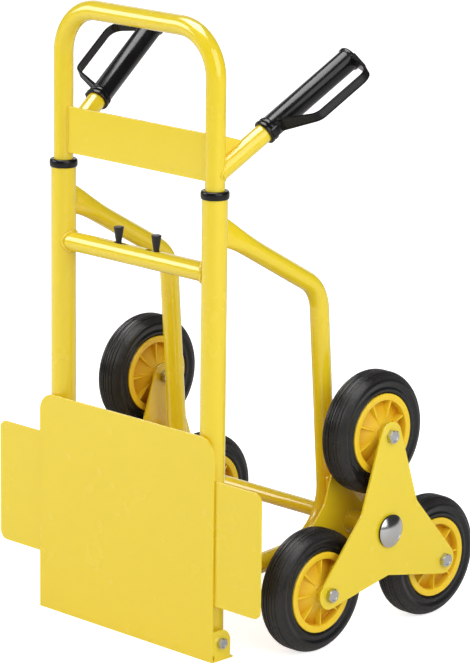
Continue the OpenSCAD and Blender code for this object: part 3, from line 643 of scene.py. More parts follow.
def bent_way(corners: Sequence[Point2], bends: Sequence[float], step: float) -> list[tuple[Vector, Vector]]:
    """Follows a bent line in a plane.

    Args:
        corners: The corners of the line.
        bends: The radius at each corner, 0 at the ends.
        step: Longest distance between stations in a bend, in degrees.

    Returns:
        Points with the directions of travel there.
    """
    points = [Vector(c) for c in corners]
    way: list[tuple[Vector, Vector]] = [(points[0], (points[1] - points[0]).normalized())]
    for before, here, after, radius in zip(points, points[1:], points[2:], bends[1:]):
        come, go = (here - before).normalized(), (after - here).normalized()
        angle = come.angle(go)
        start = here - come * radius * math.tan(angle / 2)
        side = Vector((-come.y, come.x)) * (1 if come.x * go.y - come.y * go.x > 0 else -1)
        centre = start + side * radius
        count = max(2, math.ceil(math.degrees(angle) / step))
        for k in range(count + 1):
            c, s = math.cos(angle * k / count), math.sin(angle * k / count)
            way.append((centre - side * radius * c + come * radius * s, (come * c + side * s).normalized()))
    way.append((points[-1], (points[-1] - points[-2]).normalized()))
    return way


def circle(radius: float, sides: int) -> list[Point2]:
    """A round section."""
    return [(radius * math.cos(math.tau * k / sides), radius * math.sin(math.tau * k / sides)) for k in range(sides)]


def weld_bead(points: Sequence[Vector], radius: float, closed: bool = True) -> Shape:
    """A rippled weld bead along a row of points.

    Args:
        points: The bead's middle line.
        radius: Its radius.
        closed: Whether it runs around a joint and back to its start.

    Returns:
        The bead.
    """
    ripple, pitch, drift = 0.14, 2.6, 0.9
    stations = []
    length = 0.0
    count = len(points)
    for k, here in enumerate(points):
        ahead = points[(k + 1) % count] if closed or k < count - 1 else here
        behind = points[k - 1] if closed or k > 0 else here
        along = (ahead - behind).normalized()
        across = along.cross(Vector((0.31, 0.52, 0.79))).normalized()
        length += (here - points[k - 1]).length if k else 0.0
        swell = 1.0 + ripple * math.sin(length * math.tau / pitch) + 0.5 * ripple * math.sin(length * drift)
        if not closed:
            swell *= 0.35 + 0.65 * math.sin(math.pi * min(1.0, (k + 0.5) / count)) ** 0.4
        stations.append(standing(here, across * swell, along.cross(across) * swell, along))
    return swept(circle(radius, 8), stations, closed)


def saddle(root: Vector, along: Vector, radius: float, post: Point2, post_radius: float) -> list[Vector]:
    """Where a round branch meets a round upright post.

    Args:
        root: A point on the branch's axis, outside the post.
        along: The branch's direction, away from the post.
        radius: The branch's radius.
        post: The post's X and Y.
        post_radius: The post's radius.

    Returns:
        The points of the joint line.
    """
    steps = 120
    along = along.normalized()
    u = along.cross(Vector((0, 0, 1))).normalized()
    v = along.cross(u)
    line = []
    for k in range(steps):
        angle = math.tau * k / steps
        start = root + (u * math.cos(angle) + v * math.sin(angle)) * radius
        px, py = start.x - post[0], start.y - post[1]
        a = along.x**2 + along.y**2
        b = px * along.x + py * along.y
        c = px**2 + py**2 - post_radius**2
        line.append(start + along * ((-b + math.sqrt(max(b * b - a * c, 0.0))) / a))
    return line


@dataclass
class Workshop:
    """Turns shapes into finished pieces of the truck."""

    materials: dict[Slot, bpy.types.Material] = field(default_factory=dict)

    def mix_finishes(self) -> None:
        """Builds every finish once."""
        effects = Effects()
        effects.build()
        self.materials = {slot: finish.build(effects) for slot, finish in FINISHES.items()}

    def dress_frame(self, nodes: dict[str, bpy.types.Object]) -> None:
        """Gives the CAD nodes that stay their finishes.

        Args:
            nodes: The CAD nodes by name.
        """
        by_name = {slot.value: material for slot, material in self.materials.items()}
        for node in nodes.values():
            for slot in node.material_slots:
                name = slot.material.name.split(".")[0] if slot.material else ""
                if name in by_name:
                    slot.material = by_name[name]

    def finish(
        self,
        name: str,
        parts: Iterable[tuple[Shape, Matrix]],
        body: str,
        slot: Slot,
        replaces: Sequence[str] = (),
        sharp: float = SHARP_USUAL,
        zone: Callable[[Vector], float] | None = None,
    ) -> bpy.types.Object:
        """Joins shapes into one piece, in place and in metres, and fixes it to its body.

        Args:
            name: The piece's name.
            parts: Shapes and where each one stands.
            body: The CAD body that carries it.
            slot: The record's material slot.
            replaces: CAD nodes that it stands for.
            sharp: Edges sharper than this stay crisp, in degrees.
            zone: How far a point belongs to the finish's second zone, from 0 to 1.

        Returns:
            The finished object.
        """
        mesh = bpy.data.meshes.new(name)
        whole = bmesh.new()
        for shape, where in parts:
            bmesh.ops.transform(shape, matrix=where, verts=shape.verts)
            if where.determinant() < 0:
                bmesh.ops.recalc_face_normals(shape, faces=shape.faces)
            shape.to_mesh(mesh)
            shape.free()
            whole.from_mesh(mesh)
        zones = [zone(vert.co) for vert in whole.verts] if zone else []
        bmesh.ops.scale(whole, vec=(MM, MM, MM), verts=whole.verts)
        whole.to_mesh(mesh)
        whole.free()
        if zones:
            mesh.attributes.new("Zone", "FLOAT", "POINT").data.foreach_set("value", zones)
        mesh.shade_smooth()
        mesh.set_sharp_from_angle(angle=math.radians(sharp))
        piece = into_scene(name, mesh)
        mesh.materials.append(self.materials[slot])
        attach(piece, body)
        if replaces:
            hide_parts(*replaces)
        LOG.info("%s: %d faces on %s", name, len(mesh.polygons), body)
        return piece


# ---- The truck's sub-assemblies ----


@dataclass
class PlateWork:
    """The sheet-metal plates, with their edges broken as deburred steel has them."""

    edge: float = 0.45

    def build(self, shop: Workshop) -> None:
        """Makes each plate from its CAD node."""
        plates = {"toe_plate": "toe", "guard_plate": "frame", "badge_plate": "handle", "handle_gussets": "handle"}
        plates["axle_gussets"] = "frame"
        for side in Side:
            for face in ("inner", "outer"):
                plates[f"star_{face}_{side.word}"] = "star_" + side.word
        for node, body in plates.items():
            shape = softened(node, self.edge)
            shop.finish(node + ".plate", [(shape, Matrix())], body, Slot.COAT, [node], SHARP_PLATE)


@dataclass
class Tyre:
    """A solid rubber tyre: bead, plain wall, ribbed shoulders and a grooved crown."""

    radius: float = 80.0
    half: float = 19.5
    seat: float = 52.55
    shoulder: float = 14.0
    bead: float = 4.4
    bead_middle: Point2 = (5.0, 57.2)
    tread_start: float = 4.5
    rib_pitch: float = 1.75
    rib_depth: float = 0.45
    grooves: tuple[float, ...] = (15.6, 20.9, 26.0)
    groove_width: float = 1.1
    groove_depth: float = 1.0
    wall_end: float = 69.0
    wear_fade: float = 5.0

    def half_outline(self) -> list[Point2]:
        """The outline from the seat on one side to the middle of the crown."""
        points: list[Point2] = [(self.half - 2.4, self.seat)]
        back, level = self.bead_middle
        for k in range(8):
            a = math.radians(-62 + 15 * k)
            points.append((self.half - back + self.bead * math.cos(a), level + self.bead * math.sin(a)))
        points += [(self.half - 1.9, 61.6), (self.half - 1.5, 63.0), (self.half - 0.9, 64.6), (self.half - 0.3, 66.3)]
        centre = Vector((self.half - self.shoulder, self.radius - self.shoulder))
        arc = self.shoulder * math.pi / 2
        steps, crown = 88, 20
        for k in range(6, steps + 1):
            travel = arc * k / steps
            angle, reach = travel / self.shoulder, self.shoulder - self.tread_cut(travel)
            points.append((centre.x + reach * math.cos(angle), centre.y + reach * math.sin(angle)))
        for k in range(1, crown + 1):
            along = centre.x * k / crown
            points.append((centre.x - along, self.radius - self.tread_cut(arc + along)))
        return points[:-1] + [(0.02, points[-1][1])]

    def tread_cut(self, travel: float) -> float:
        """How deep the tread is cut at a distance along the outline from the sidewall."""
        if travel < self.tread_start:
            return 0.0
        if any(abs(travel - middle) < self.groove_width / 2 for middle in self.grooves):
            return self.groove_depth
        wave = 0.5 - 0.5 * math.cos((travel - self.tread_start) / self.rib_pitch * math.tau)
        return self.rib_depth * wave**2

    def tread(self, point: Vector) -> float:
        """How far a point belongs to the worn tread, from 0 on the sidewall to 1 on the crown."""
        return min(1.0, max(0.0, (math.hypot(point.y, point.z) - self.wall_end) / self.wear_fade))

    def shape(self) -> Shape:
        """The tyre about X, centred."""
        near = self.half_outline()
        return turned(near + [(-x, r) for x, r in reversed(near)], 160, ring=True)


@dataclass
class Rim:
    """A moulded rim: flat ring, conical web, tapered ribs in both faces and a hub with a bore."""

    radius: float = 52.5
    half: float = 19.5
    ring: float = 9.0
    recess: float = 13.0
    hub_recess: float = 1.0
    hub_radius: float = 13.0
    hub_half: float = 20.0
    bore: float = 8.05
    ribs: int = 8
    rib_thickness: float = 2.6
    rib_drop: float = 2.0

    def body_outline(self) -> list[Point2]:
        """The turned body's outline, one face and then the other."""
        inner, web = self.radius - self.ring, self.half - self.recess
        hub, boss = self.hub_half, self.half - self.hub_recess
        face = [
            (hub, self.bore + 0.6), (hub, self.hub_radius - 0.8), (hub - 0.5, self.hub_radius - 0.1),
            (boss + 0.2, self.hub_radius + 0.3), (boss - 0.4, self.hub_radius + 1.4),
            (web + 1.2, inner - 3.4), (web + 0.5, inner - 1.4), (web + 1.2, inner - 0.45),
            (self.half - 1.4, inner), (self.half - 0.5, inner + 0.35), (self.half, inner + 1.1),
            (self.half, self.radius - 0.8), (self.half - 0.6, self.radius - 0.1),
        ]  # fmt: skip
        back = [(-x, r) for x, r in reversed(face)]
        return face + back + [(0.6 - hub, self.bore), (hub - 0.6, self.bore)]

    def rib(self) -> Shape:
        """One rib of the near face, standing along Z, with draft towards its top edge."""
        tip, root = self.radius - self.ring + 1.6, self.hub_radius - 1.6
        deep, top = self.half - self.recess - 1.5, self.half - self.rib_drop
        shape = bmesh.new()
        for vert in bmesh.ops.create_cube(shape, size=1.0)["verts"]:
            outer, high, wide = vert.co.z > 0, vert.co.x > 0, vert.co.y > 0
            thick = self.rib_thickness * (0.82 if high else 1.35) / 2
            vert.co = (top if high else deep, thick if wide else -thick, tip if outer else root)
        return bevelled(shape, 0.4)

    def hollow(self, point: Vector) -> float:
        """How deep a point lies in the rim's pockets, from 0 at its faces to 1 at the web; it masks the painted pocket
        shade.
        """
        radius = math.hypot(point.y, point.z)
        if not self.hub_radius - 1.0 < radius < self.radius - self.ring + 0.2:
            return 0.0
        return min(1.0, max(0.0, (self.half - self.rib_drop - abs(point.x)) / (self.recess - self.rib_drop))) ** 0.7

    def shapes(self, turn: float) -> list[tuple[Shape, Matrix]]:
        """The body and its ribs, about X, with the ribs turned by an angle."""
        parts = [(turned(self.body_outline(), 128, ring=True), Matrix())]
        for k in range(self.ribs):
            around = spin(360 * k / self.ribs + turn, "X")
            parts += [(self.rib(), around), (self.rib(), around @ Side.LEFT.flip)]
        return parts


@dataclass
class WheelStar:
    """One star: three wheels with their bolts and nuts, between two plates around the hub tube."""

    side: Side
    wheel_x: float = 206.0
    reach: float = 125.0
    outer_face: float = 240.0
    inner_face: float = 172.0
    bolt: float = 10.0
    bolt_tail: float = 2.0
    head_across: float = 16.2
    head_height: float = 6.5
    nut_height: float = 8.0
    hub_ring: float = 14.6
    hub_inset: float = 3.2
    hub_bead: float = 1.5
    rib_turn: float = 22.5

    def at(self, place: WheelPlace, x: float) -> Matrix:
        """The place on a wheel's axis at a distance from the truck's middle, with X outwards."""
        angle = math.radians(place.value)
        y, z = AXLE_Y + self.reach * math.cos(angle), AXLE_Z + self.reach * math.sin(angle)
        return self.side.flip @ shift(x, y, z)

    def build(self, shop: Workshop) -> None:
        """Makes the wheels, bolts, nuts and weld beads."""
        tyre, rim = Tyre(), Rim()
        for place in WheelPlace:
            tag = f"{self.side.word}_{place.word}"
            body, centre = f"wheel_{tag}", self.at(place, self.wheel_x)
            back = centre.inverted()
            node, parts = f"tyre_{tag}", [(tyre.shape(), centre)]
            shop.finish(
                node + ".rubber", parts, body, Slot.TYRE, [node], SHARP_TURNED, zone=lambda p: tyre.tread(back @ p)
            )
            turn = self.rib_turn if (self.side, place) == (Side.RIGHT, WheelPlace.TOP) else 0.0
            node, parts = f"rim_{tag}", [(part, centre @ where) for part, where in rim.shapes(turn)]
            # The rim's pockets take painted shade by their depth.
            shop.finish(node + ".dish", parts, body, Slot.RIM, [node], zone=lambda p: rim.hollow(back @ p))
        star = "star_" + self.side.word
        self._bolts(shop, star)
        faces = (self.inner_face + self.hub_inset, self.outer_face - self.hub_inset)
        rings = [hoop(self.side.value * x, AXLE_Y, AXLE_Z, self.hub_ring, 90) for x in faces]
        beads = [(weld_bead(ring, self.hub_bead), Matrix()) for ring in rings]
        shop.finish("hub_welds_" + self.side.word, beads, star, Slot.COAT)

    def _bolts(self, shop: Workshop, star: str) -> None:
        """Makes the bolts and nuts that hold the wheels."""
        nut_x, under_head, r = self.inner_face - self.nut_height, self.outer_face - 0.02, self.bolt / 2
        washer = [(0.0, 0.0), (0.0, 8.0), (0.35, 8.0), (0.55, 7.7), (0.55, 0.0)]
        end = nut_x - self.bolt_tail
        shank: list[Point2] = [(end, 0.0), (end, r - 1.1)]
        x = end + 0.7
        while x < nut_x + 1.5:
            shank += [(x, r - 0.05), (x + 0.5, r - 0.7)]
            x += 1.0
        shank += [(x, r - 0.02), (under_head, r - 0.02), (under_head, 0.0)]
        heads, nuts = [], []
        for index, place in enumerate(WheelPlace):
            head = hexagon(self.head_across, self.head_height - 0.5)
            heads.append((head, self.at(place, self.outer_face + 0.5) @ spin(17.0 + 23.0 * index, "X")))
            heads.append((turned(washer, 64), self.at(place, self.outer_face)))
            heads.append((turned(shank, 48), self.at(place, 0.0)))
            nut = hexagon(self.head_across, self.nut_height, self.bolt)
            nuts.append((nut, self.at(place, nut_x) @ spin(41.0 * index, "X")))
        for kind, parts in (("wheel_bolts_", heads), ("wheel_nuts_", nuts)):
            node = kind + self.side.word
            shop.finish(node + ".zinc", parts, star, Slot.ZINC, [node], SHARP_HEXAGON)


@dataclass
class Grip:
    """A rear handle's grip: sleeve, two-ringed flange, closed end and knuckle guard."""

    side: Side
    start: float = 84.5
    length: float = 156.5
    sleeve: float = 14.5
    bore: float = 12.54
    flange: float = 16.25
    end: float = 7.0
    reach: float = 60.55
    foot: float = 11.0
    corner: float = 48.5
    back: float = 17.0
    low_bend: float = 16.0
    high_bend: float = 22.0
    strap_width: float = 12.5
    strap: float = 2.8

    def sleeve_outline(self) -> list[Point2]:
        """The sleeve with its flange and end, as (along, radius)."""
        low, tip = self.start, self.start + self.length
        f, s = self.flange, self.sleeve
        return [
            (tip - self.end, 0.0), (tip - self.end, self.bore),
            (low + 1.2, self.bore), (low, self.bore + 0.9), (low, f - 1.6), (low + 0.5, f - 0.5), (low + 1.6, f),
            (low + 4.2, f), (low + 5.2, f - 0.5), (low + 5.6, f - 1.6), (low + 6.6, f - 1.9), (low + 7.0, f - 1.0),
            (low + 8.0, f - 0.3), (low + 10.6, f - 0.3), (low + 12.0, f - 0.9), (low + 12.8, s + 0.5), (low + 14.0, s),
            (tip - 9.0, s), (tip - 7.6, s + 0.3), (tip - 7.0, s + 1.2), (tip - 6.6, f - 0.5), (tip - 5.6, f),
            (tip - 3.4, f), (tip - 2.6, f - 0.4), (tip - 2.2, f - 1.1), (tip - 1.4, f - 1.4), (tip - 0.6, f - 2.6),
            (tip, f - 5.5), (tip, 0.0),
        ]  # fmt: skip

    def strap_section(self) -> list[Point2]:
        """The strap's section one unit thick: a ribbed outer face at X 0 between two lips, an inner one at X -1."""
        h, lip, root, crest, ribs = self.strap_width / 2, 0.0, -0.17, -0.05, 6
        section: list[Point2] = [(-0.2, -h), (lip, -h + 0.5), (lip, -h + 1.4), (root, -h + 1.9)]
        pitch = (self.strap_width - 4.4) / ribs
        for k in range(ribs):
            y = -h + 2.2 + pitch * k
            section += [(root, y + 0.1), (crest, y + pitch * 0.5), (root, y + pitch - 0.1)]
        section += [(root, h - 1.9), (lip, h - 1.4), (lip, h - 0.5), (-0.2, h), (-0.85, h), (-1.0, h - 0.5)]
        return section + [(-1.0, -h + 0.5), (-0.85, -h)]

    def guard(self) -> Shape:
        """The knuckle guard's strap, in the handle's axes; it thickens and widens into the closed end."""
        low, tip = self.start, self.start + self.length
        foot = (7.0, low + self.foot + 7.0 * (self.corner - self.foot) / self.reach)
        corners = [foot, (self.reach, low + self.corner), (self.reach, tip - self.back), (13.5, tip - 0.3)]
        way = bent_way(corners, [0, self.low_bend, self.high_bend, 0], 7.5)
        last = way.pop()
        for k in range(1, 7):
            way.append((way[-1][0].lerp(last[0], 1 / (7 - k)), last[1]))
        stations = []
        for point, along in way:
            root = max(0.0, 1.0 - (point.x - foot[0]) / 26.0) if point.y < low + self.corner else 0.0
            end = min(1.0, max(0.0, (self.reach - 3.0 - point.x) / 40.0)) if point.y > tip - self.back - 6.0 else 0.0
            thick = self.strap + 1.6 * root + (self.end - 0.4 - self.strap) * end**0.8
            wide = Vector((0, 1.0 + 0.5 * root + 0.5 * end**1.3, 0))
            out = Vector((along.y, 0, -along.x)) * thick
            stations.append(standing((point.x, 0, point.y), out, wide, Vector((along.x, 0, along.y))))
        return swept(self.strap_section(), stations)

    def build(self, shop: Workshop) -> None:
        """Makes the grip in one piece, in axes with X outwards, Y under the grip and Z along the handle."""
        handle = shift(UPRIGHT_X, 0, HANDLE_Z) @ spin(-HANDLE_SPLAY, "Z") @ spin(HANDLE_RISE - 90, "X")
        frame = self.side.flip @ handle
        lug = bmesh.new()
        bmesh.ops.create_cube(lug, size=1.0)
        bmesh.ops.scale(lug, vec=(7.0, 12.0, 10.0), verts=lug.verts)
        parts = [
            (turned(self.sleeve_outline()), frame @ spin(-90, "Y")),
            (self.guard(), frame),
            (bevelled(lug, 1.2, segments=3), frame @ shift(14.8, 0, self.start + 8.0)),
        ]
        node = "grip_" + self.side.word
        shop.finish(node + ".rubber", parts, "handle", Slot.GRIP, [node], SHARP_GRIP)


@dataclass
class Collars:
    """The barrel-shaped plastic collars on the uprights' upper ends, with sleeves inside the tubes."""

    top: float = 600.0
    skirt: float = 9.0
    lip: float = 1.5
    radius: float = 18.0
    depth: float = 34.0

    def build(self, shop: Workshop) -> None:
        """Makes both collars as one piece."""
        low, high, r, deep = self.top - self.skirt, self.top + self.lip, self.radius, self.top - self.depth
        outline = [
            (low, 16.05), (low, r - 1.0), (low + 0.6, r - 0.35), (low + 2.0, r - 0.1), (low + 3.6, r), (low + 6.4, r),
            (low + 8.2, r - 0.2), (high - 1.0, r - 0.7), (high - 0.3, r - 1.5), (high, r - 2.6), (high, 13.2),
            (high - 0.5, 12.65), (deep, 12.65), (deep, 14.4), (self.top, 14.4), (self.top, 16.05),
        ]  # fmt: skip
        parts = [(turned(outline, ring=True), shift(side.value * UPRIGHT_X) @ spin(-90, "Y")) for side in Side]
        shop.finish("collars.barrel", parts, "frame", Slot.GRIP, ["collars"], SHARP_TURNED)


@dataclass
class HingeHardware:
    """The toe plate's pivot bolts and nuts."""

    y: float = -5.0
    z: float = 23.8
    ear: float = 160.3
    across: float = 12.96
    head: float = 5.2
    bolt: float = 8.0
    nut_face: float = 120.5
    nut: float = 6.4
    tail: float = 2.0

    def build(self, shop: Workshop) -> None:
        """Makes the bolts with their heads, and the nuts."""
        bolts, nuts = [], []
        nut_x, r = self.nut_face - self.nut, self.bolt / 2
        start = nut_x - self.tail
        shank = [(start, 0.0), (start, r - 0.8), (start + 0.8, r - 0.02), (self.ear, r - 0.02), (self.ear, 0.0)]
        for side in Side:
            pivot = side.flip @ shift(0.0, self.y, self.z)
            bolts.append((hexagon(self.across, self.head), pivot @ shift(self.ear) @ spin(12.0, "X")))
            bolts.append((turned(shank, 48), pivot))
            nuts.append((hexagon(self.across, self.nut, self.bolt), pivot @ shift(nut_x) @ spin(20.0, "X")))
        shop.finish("hinge_bolts.zinc", bolts, "frame", Slot.ZINC, ["hinge_bolts"], SHARP_HEXAGON)
        shop.finish("hinge_nuts.zinc", nuts, "frame", Slot.ZINC, ["hinge_nuts"], SHARP_HEXAGON)


@dataclass
class AxleCaps:
    """The domed chrome caps on the axle's ends, each on a black ring that stands for the shade in the gap under the
    dome.
    """

    base: float = 240.6
    height: float = 9.5
    seat: float = 2.6
    edge: float = 0.6
    radius: float = 21.45
    hollow: float = 10.0

    def build(self, shop: Workshop) -> None:
        """Makes the domes as one piece, and as another the black rings under them that paint the shade of the gap."""
        rise, steps = self.height - self.seat - self.edge, 20
        ball = (self.radius**2 + rise**2) / (2 * rise)
        face: list[Point2] = [(self.height - 1.5, 0.0), (self.height - 2.5, self.hollow), (self.seat, self.hollow)]
        face += [(self.seat, self.radius - 1.2), (self.seat + 0.2, self.radius - 0.2)]
        for k in range(steps + 1):
            radius = self.radius * (1 - k / steps)
            face.append((self.height - ball + math.sqrt(ball**2 - radius**2), radius))
        # Painted shade: a black ring fills the gap under the dome, where there is only shade.
        rim, ceiling = self.radius - 1.0, self.seat - 0.05
        seat = [(0.0, 10.4), (0.0, rim), (ceiling, rim), (ceiling, 10.4)]
        places = [side.flip @ shift(self.base, AXLE_Y, AXLE_Z) for side in Side]
        caps = [(turned(face), place) for place in places]
        shop.finish("axle_caps.dome", caps, "frame", Slot.CHROME, ["axle_caps"], SHARP_ROUND)
        shop.finish("axle_cap_seats", [(turned(seat, ring=True), place) for place in places], "frame", Slot.PLASTIC)


@dataclass
class SideLeg:
    """A bent side leg; its upper end is pressed flat and widens where it is welded to the upright."""

    side: Side
    corners: tuple[Point2, ...] = ((0.0, 96.0), (215.0, 112.0), (189.0, 448.0), (0.0, 555.0))
    bends: tuple[float, ...] = (0.0, 75.0, 50.0, 0.0)
    flare: tuple[tuple[float, float, float, float], ...] = (
        (16.0, 18.0, 17.0, 4.6),
        (26.0, 17.0, 15.9, 5.4),
        (36.0, 15.9, 14.6, 7.4),
        (46.0, 14.9, 13.4, 9.6),
        (56.0, 14.0, 12.7, 11.2),
        (68.0, 13.2, 12.5, 12.1),
        (82.0, 12.6, 12.5, 12.5),
    )
    bead: float = 1.5

    def stations(self) -> list[Matrix]:
        """The round part's stations from the foot, then the widening ones up to the upright."""
        way = bent_way(self.corners, self.bends, 4.0)
        way[0] = (way[0][0] + way[0][1] * 17.0, way[0][1])
        head, along = way.pop()
        rows = [(point, ahead, TUBE_RADIUS, TUBE_RADIUS, TUBE_RADIUS) for point, ahead in way]
        rows += [(head - along * t, along, high, low, half) for t, high, low, half in reversed(self.flare)]
        made = []
        for point, ahead, high, low, half in rows:
            up = Vector((0, -ahead.y, ahead.x))
            middle = Vector((0, point.x, point.y)) - up * ((high - low) / 2)
            made.append(standing(middle, Vector((half, 0, 0)), up * ((high + low) / 2), Vector((0, ahead.x, ahead.y))))
        return made

    def build(self, shop: Workshop) -> None:
        """Makes the leg and the beads that weld it to the upright."""
        place = shift(self.side.value * UPRIGHT_X)
        section = circle(1.0, 40)
        stations = self.stations()
        shape = swept(section, stations)
        beads = []
        for station in (stations[0], stations[-1]):
            ahead = Vector((0, station[1][2], station[2][2]))
            ring = []
            for end in [station @ Vector((x, y, 0.0)) for x, y in section]:
                vert = min(shape.verts, key=lambda v: (v.co - end).length_squared)
                inside = math.sqrt(max((UPRIGHT_RADIUS - 0.7) ** 2 - vert.co.x**2, 0.0))
                vert.co += ahead * ((inside - vert.co.y) / ahead.y)
                ring.append(vert.co + Vector((vert.co.x, vert.co.y, 0)).normalized() * 0.9)
            closer = [a.lerp(b, t / 3) for a, b in zip(ring, ring[1:] + ring[:1]) for t in range(3)]
            beads.append((weld_bead(closer, self.bead), place))
        bmesh.ops.recalc_face_normals(shape, faces=shape.faces)
        node = "leg_" + self.side.word
        shop.finish(node + ".tube", [(shape, place)], "frame", Slot.COAT, [node])
        shop.finish(node + ".welds", beads, "frame", Slot.COAT, sharp=SHARP_ROUND)


@dataclass
class FrameWelds:
    """The weld beads of the crossbar, kept clear of the uprights' bores, and of the axle tube."""

    crossbar_bead: float = 2.1
    axle_rings: tuple[Point2, ...] = ((123.4, 10.6), (153.9, 13.5))
    axle_bead: float = 1.3

    def build(self, shop: Workshop) -> None:
        """Makes all beads as one piece."""
        parts = []
        for side in Side:
            s = side.value
            post, reach = (s * UPRIGHT_X, 0.0), UPRIGHT_RADIUS + 1.15
            bar = saddle(Vector((s * 120.0, 0, CROSSBAR_Z)), Vector((-s, 0, 0)), TUBE_RADIUS + 0.6, post, reach)
            parts.append((weld_bead(bar, self.crossbar_bead), Matrix()))
            for x, r in self.axle_rings:
                parts.append((weld_bead(hoop(s * x, AXLE_Y, AXLE_Z, r, 80), self.axle_bead), Matrix()))
        shop.finish("frame_welds", parts, "frame", Slot.COAT, sharp=SHARP_ROUND)


@dataclass
class HandleWelds:
    """The weld beads of the sliding handle."""

    badge_low: float = 611.0
    badge_high: float = 671.0
    badge_y: float = -3.0
    badge_half: float = 1.5
    tube_bead: float = 1.4
    badge_bead: float = 1.1

    def build(self, shop: Workshop) -> None:
        """Makes all beads as one piece."""
        parts = []
        rise, splay = math.radians(HANDLE_RISE), math.radians(HANDLE_SPLAY)
        low, tall = self.badge_low + 1, self.badge_high - self.badge_low - 2
        for side in Side:
            s = side.value
            way = Vector((s * math.sin(splay) * math.cos(rise), math.cos(splay) * math.cos(rise), math.sin(rise)))
            root = Vector((s * UPRIGHT_X, 0, HANDLE_Z)) + way * 20.0
            line = saddle(root, way, TUBE_RADIUS, (s * UPRIGHT_X, 0.0), TUBE_RADIUS)
            parts.append((weld_bead(line, self.tube_bead), Matrix()))
            for y in (self.badge_y - self.badge_half, self.badge_y + self.badge_half):
                x = UPRIGHT_X - math.sqrt(TUBE_RADIUS**2 - y**2) - 0.4
                seam = [Vector((s * x, y, low + tall * k / 60)) for k in range(61)]
                parts.append((weld_bead(seam, self.badge_bead, closed=False), Matrix()))
        shop.finish("handle_welds", parts, "handle", Slot.COAT, sharp=SHARP_ROUND)


@dataclass
class LockSprings:
    """The coil springs in the crossbar that push the lock rods outwards; each shortens as its knob is drawn in."""

    start: float = 2.12
    length: float = 21.26
    coil: float = 5.9
    wire: float = 0.6
    turns: int = 5
    stop: float = 1.5
    shortest: float = 0.415

    def build(self, shop: Workshop) -> None:
        """Makes each spring as a piece of its own, with a mesh of its own."""
        steps = 28 * self.turns
        climb = self.length / (math.tau * self.turns * self.coil)
        stations = []
        for k in range(steps + 1):
            a = math.tau * self.turns * k / steps
            out = Vector((0, math.cos(a), math.sin(a)))
            along = Vector((climb, -math.sin(a), math.cos(a))).normalized()
            point = Vector((self.start + self.length * k / steps, 0, 0)) + out * self.coil
            stations.append(standing(point, out, along.cross(out), along))
        for side in Side:
            node = "lock_spring_" + side.word
            coil = [(swept(circle(self.wire, 10), stations), side.flip @ shift(z=CROSSBAR_Z))]
            piece = shop.finish(node + ".coil", coil, "frame", Slot.ZINC, [node])
            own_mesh(piece)


# ---- Studio ----


@dataclass
class Camera:
    """A long lens in front of the truck's right side, a little above its middle."""

    azimuth: float = 44.421
    elevation: float = 13.847
    roll: float = 0.666
    position: tuple[float, float, float] = (3.18216, -3.07321, 1.50215)
    sensor: float = 36.0
    lens: float = 275.8817106
    shift_x: float = 0.003542553191
    shift_y: float = -0.02617659574

    def build(self) -> None:
        """Makes the camera and sets it as the scene's."""
        az, el, roll = (math.radians(v) for v in (self.azimuth, self.elevation, self.roll))
        back = Vector((math.sin(az) * math.cos(el), -math.cos(az) * math.cos(el), math.sin(el)))
        right = Vector((0, 0, 1)).cross(back).normalized()
        up = back.cross(right)
        across = right * math.cos(roll) + up * math.sin(roll)
        above = up * math.cos(roll) - right * math.sin(roll)
        data = bpy.data.cameras.new("Camera")
        data.sensor_fit = "HORIZONTAL"
        data.sensor_width = self.sensor
        data.lens = self.lens
        data.shift_x, data.shift_y = self.shift_x, self.shift_y
        data.clip_end = 60.0
        camera = into_scene("Camera", data)
        camera.matrix_world = standing(self.position, across, above, back)
        bpy.context.scene.camera = camera


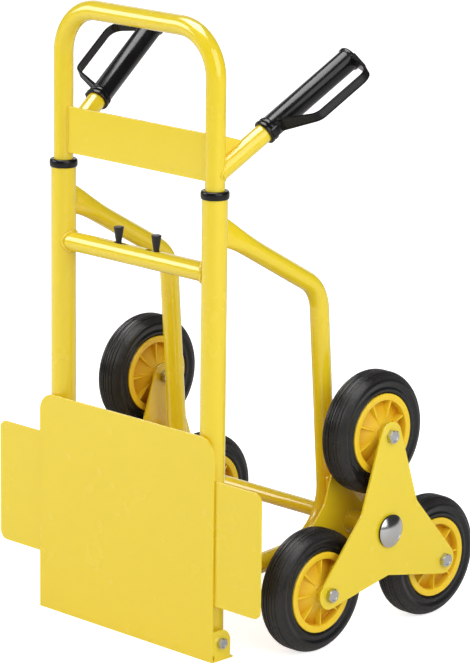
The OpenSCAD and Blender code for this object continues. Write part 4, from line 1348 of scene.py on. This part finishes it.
@dataclass
class Studio:
    """Pale floor, soft lamps, a skylight that only shines in gloss, and a surround that is white behind the truck."""

    floor_size: float = 40.0
    floor_paint: Colour = (0.8, 0.8, 0.8)
    floor_glow: float = 0.74
    mirrored_floor: float = 0.08
    white: Colour = (1.0, 1.0, 1.0)
    fill: Colour = (1.0, 0.965, 0.90)
    world_level: float = 0.56
    behind: tuple[float, float, float] = (-0.7, 0.7, 0.1)
    mirrored_room: tuple[float, float, float, float] = (0.78, 0.95, 0.05, 1.0)

    def build(self) -> None:
        """Makes the floor, the world and the lamps."""
        self._floor()
        self._world()
        self._lamp("FrontSoftbox", (-2.05, -1.9, 1.72), (0.0, 0.0, 0.5), (1.7, 1.45), 48.0)
        self._lamp("RightSoftbox", (3.0, -0.5, 1.9), (0.0, 0.1, 0.35), (3.0, 2.8), 70.0)
        sky = self._lamp("Skylight", (-0.26, -0.18, 2.95), (0.0, 0.02, 0.7), (1.9, 1.9), 114.0)
        sky.visible_diffuse = False

    def _floor(self) -> None:
        """A wide white floor that keeps a light shadow."""
        shape = bmesh.new()
        bmesh.ops.create_grid(shape, x_segments=2, y_segments=2, size=self.floor_size / 2)
        mesh = bpy.data.meshes.new("Floor")
        shape.to_mesh(mesh)
        shape.free()
        floor = into_scene("Floor", mesh)
        material = bpy.data.materials.new("FloorPaint")
        mesh.materials.append(material)
        recipe = blank(material)
        paint = recipe.add("ShaderNodeBsdfDiffuse", {"Color": self.floor_paint})
        seen, glossy = recipe.rays()
        level = recipe.math("MAXIMUM", recipe.times(seen, self.floor_glow), recipe.times(glossy, self.mirrored_floor))
        glow = recipe.add("ShaderNodeEmission", {"Color": self.white, "Strength": level})
        both = recipe.add("ShaderNodeAddShader", {0: paint.outputs[0], 1: glow.outputs[0]})
        recipe.add("ShaderNodeOutputMaterial", {"Surface": both.outputs[0]})

    def _world(self) -> None:
        """A surround that is white behind the truck and dims in reflections of the room in front of it."""
        world = bpy.data.worlds.new("Studio")
        recipe = blank(world)
        clear, glossy = recipe.rays()
        toward = recipe.add("ShaderNodeTexCoord").outputs["Generated"]
        behind = recipe.add("ShaderNodeVectorMath", {0: toward, 1: self.behind}, operation="DOT_PRODUCT")
        gloss = recipe.times(glossy, recipe.spread(behind.outputs["Value"], *self.mirrored_room))
        plain = recipe.math("SUBTRACT", 1.0, recipe.math("MAXIMUM", clear, glossy))
        level = recipe.math("ADD", recipe.math("MAXIMUM", clear, gloss), recipe.times(plain, self.world_level))
        tint = recipe.mix(plain, self.white, self.fill)
        shade = recipe.add("ShaderNodeBackground", {"Color": tint, "Strength": level})
        recipe.add("ShaderNodeOutputWorld", {"Surface": shade.outputs[0]})
        bpy.context.scene.world = world

    @staticmethod
    def _lamp(name: str, place: Sequence[float], aim: Sequence[float], size: Point2, power: float) -> bpy.types.Object:
        """Hangs one soft lamp, its long side level.

        Args:
            name: Its name.
            place: Where it hangs.
            aim: What it faces.
            size: Its width and height.
            power: Its power in watts.

        Returns:
            The lamp.
        """
        data = bpy.data.lights.new(name, "AREA")
        data.shape = "RECTANGLE"
        data.size, data.size_y = size
        data.energy = power
        lamp = into_scene(name, data)
        back = (Vector(place) - Vector(aim)).normalized()
        level = Vector((0, 0, 1)).cross(back).normalized()
        lamp.matrix_world = standing(place, level, back.cross(level), back)
        return lamp


def main() -> None:
    """Loads the frame, builds the looks around it and reports each piece."""
    logging.basicConfig(level=logging.INFO, format="%(name)s: %(message)s")
    for stray in list(bpy.data.objects):
        bpy.data.objects.remove(stray, do_unlink=True)
    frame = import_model()
    Camera().build()
    shop = Workshop()
    shop.mix_finishes()
    shop.dress_frame(frame["nodes"])
    PlateWork().build(shop)
    for side in Side:
        WheelStar(side).build(shop)
        Grip(side).build(shop)
        SideLeg(side).build(shop)
    for work in (Collars(), HingeHardware(), AxleCaps(), FrameWelds(), HandleWelds(), LockSprings()):
        work.build(shop)
    Studio().build()
    bpy.context.scene.view_settings.view_transform = "Standard"


if __name__ == "__main__":
    main()
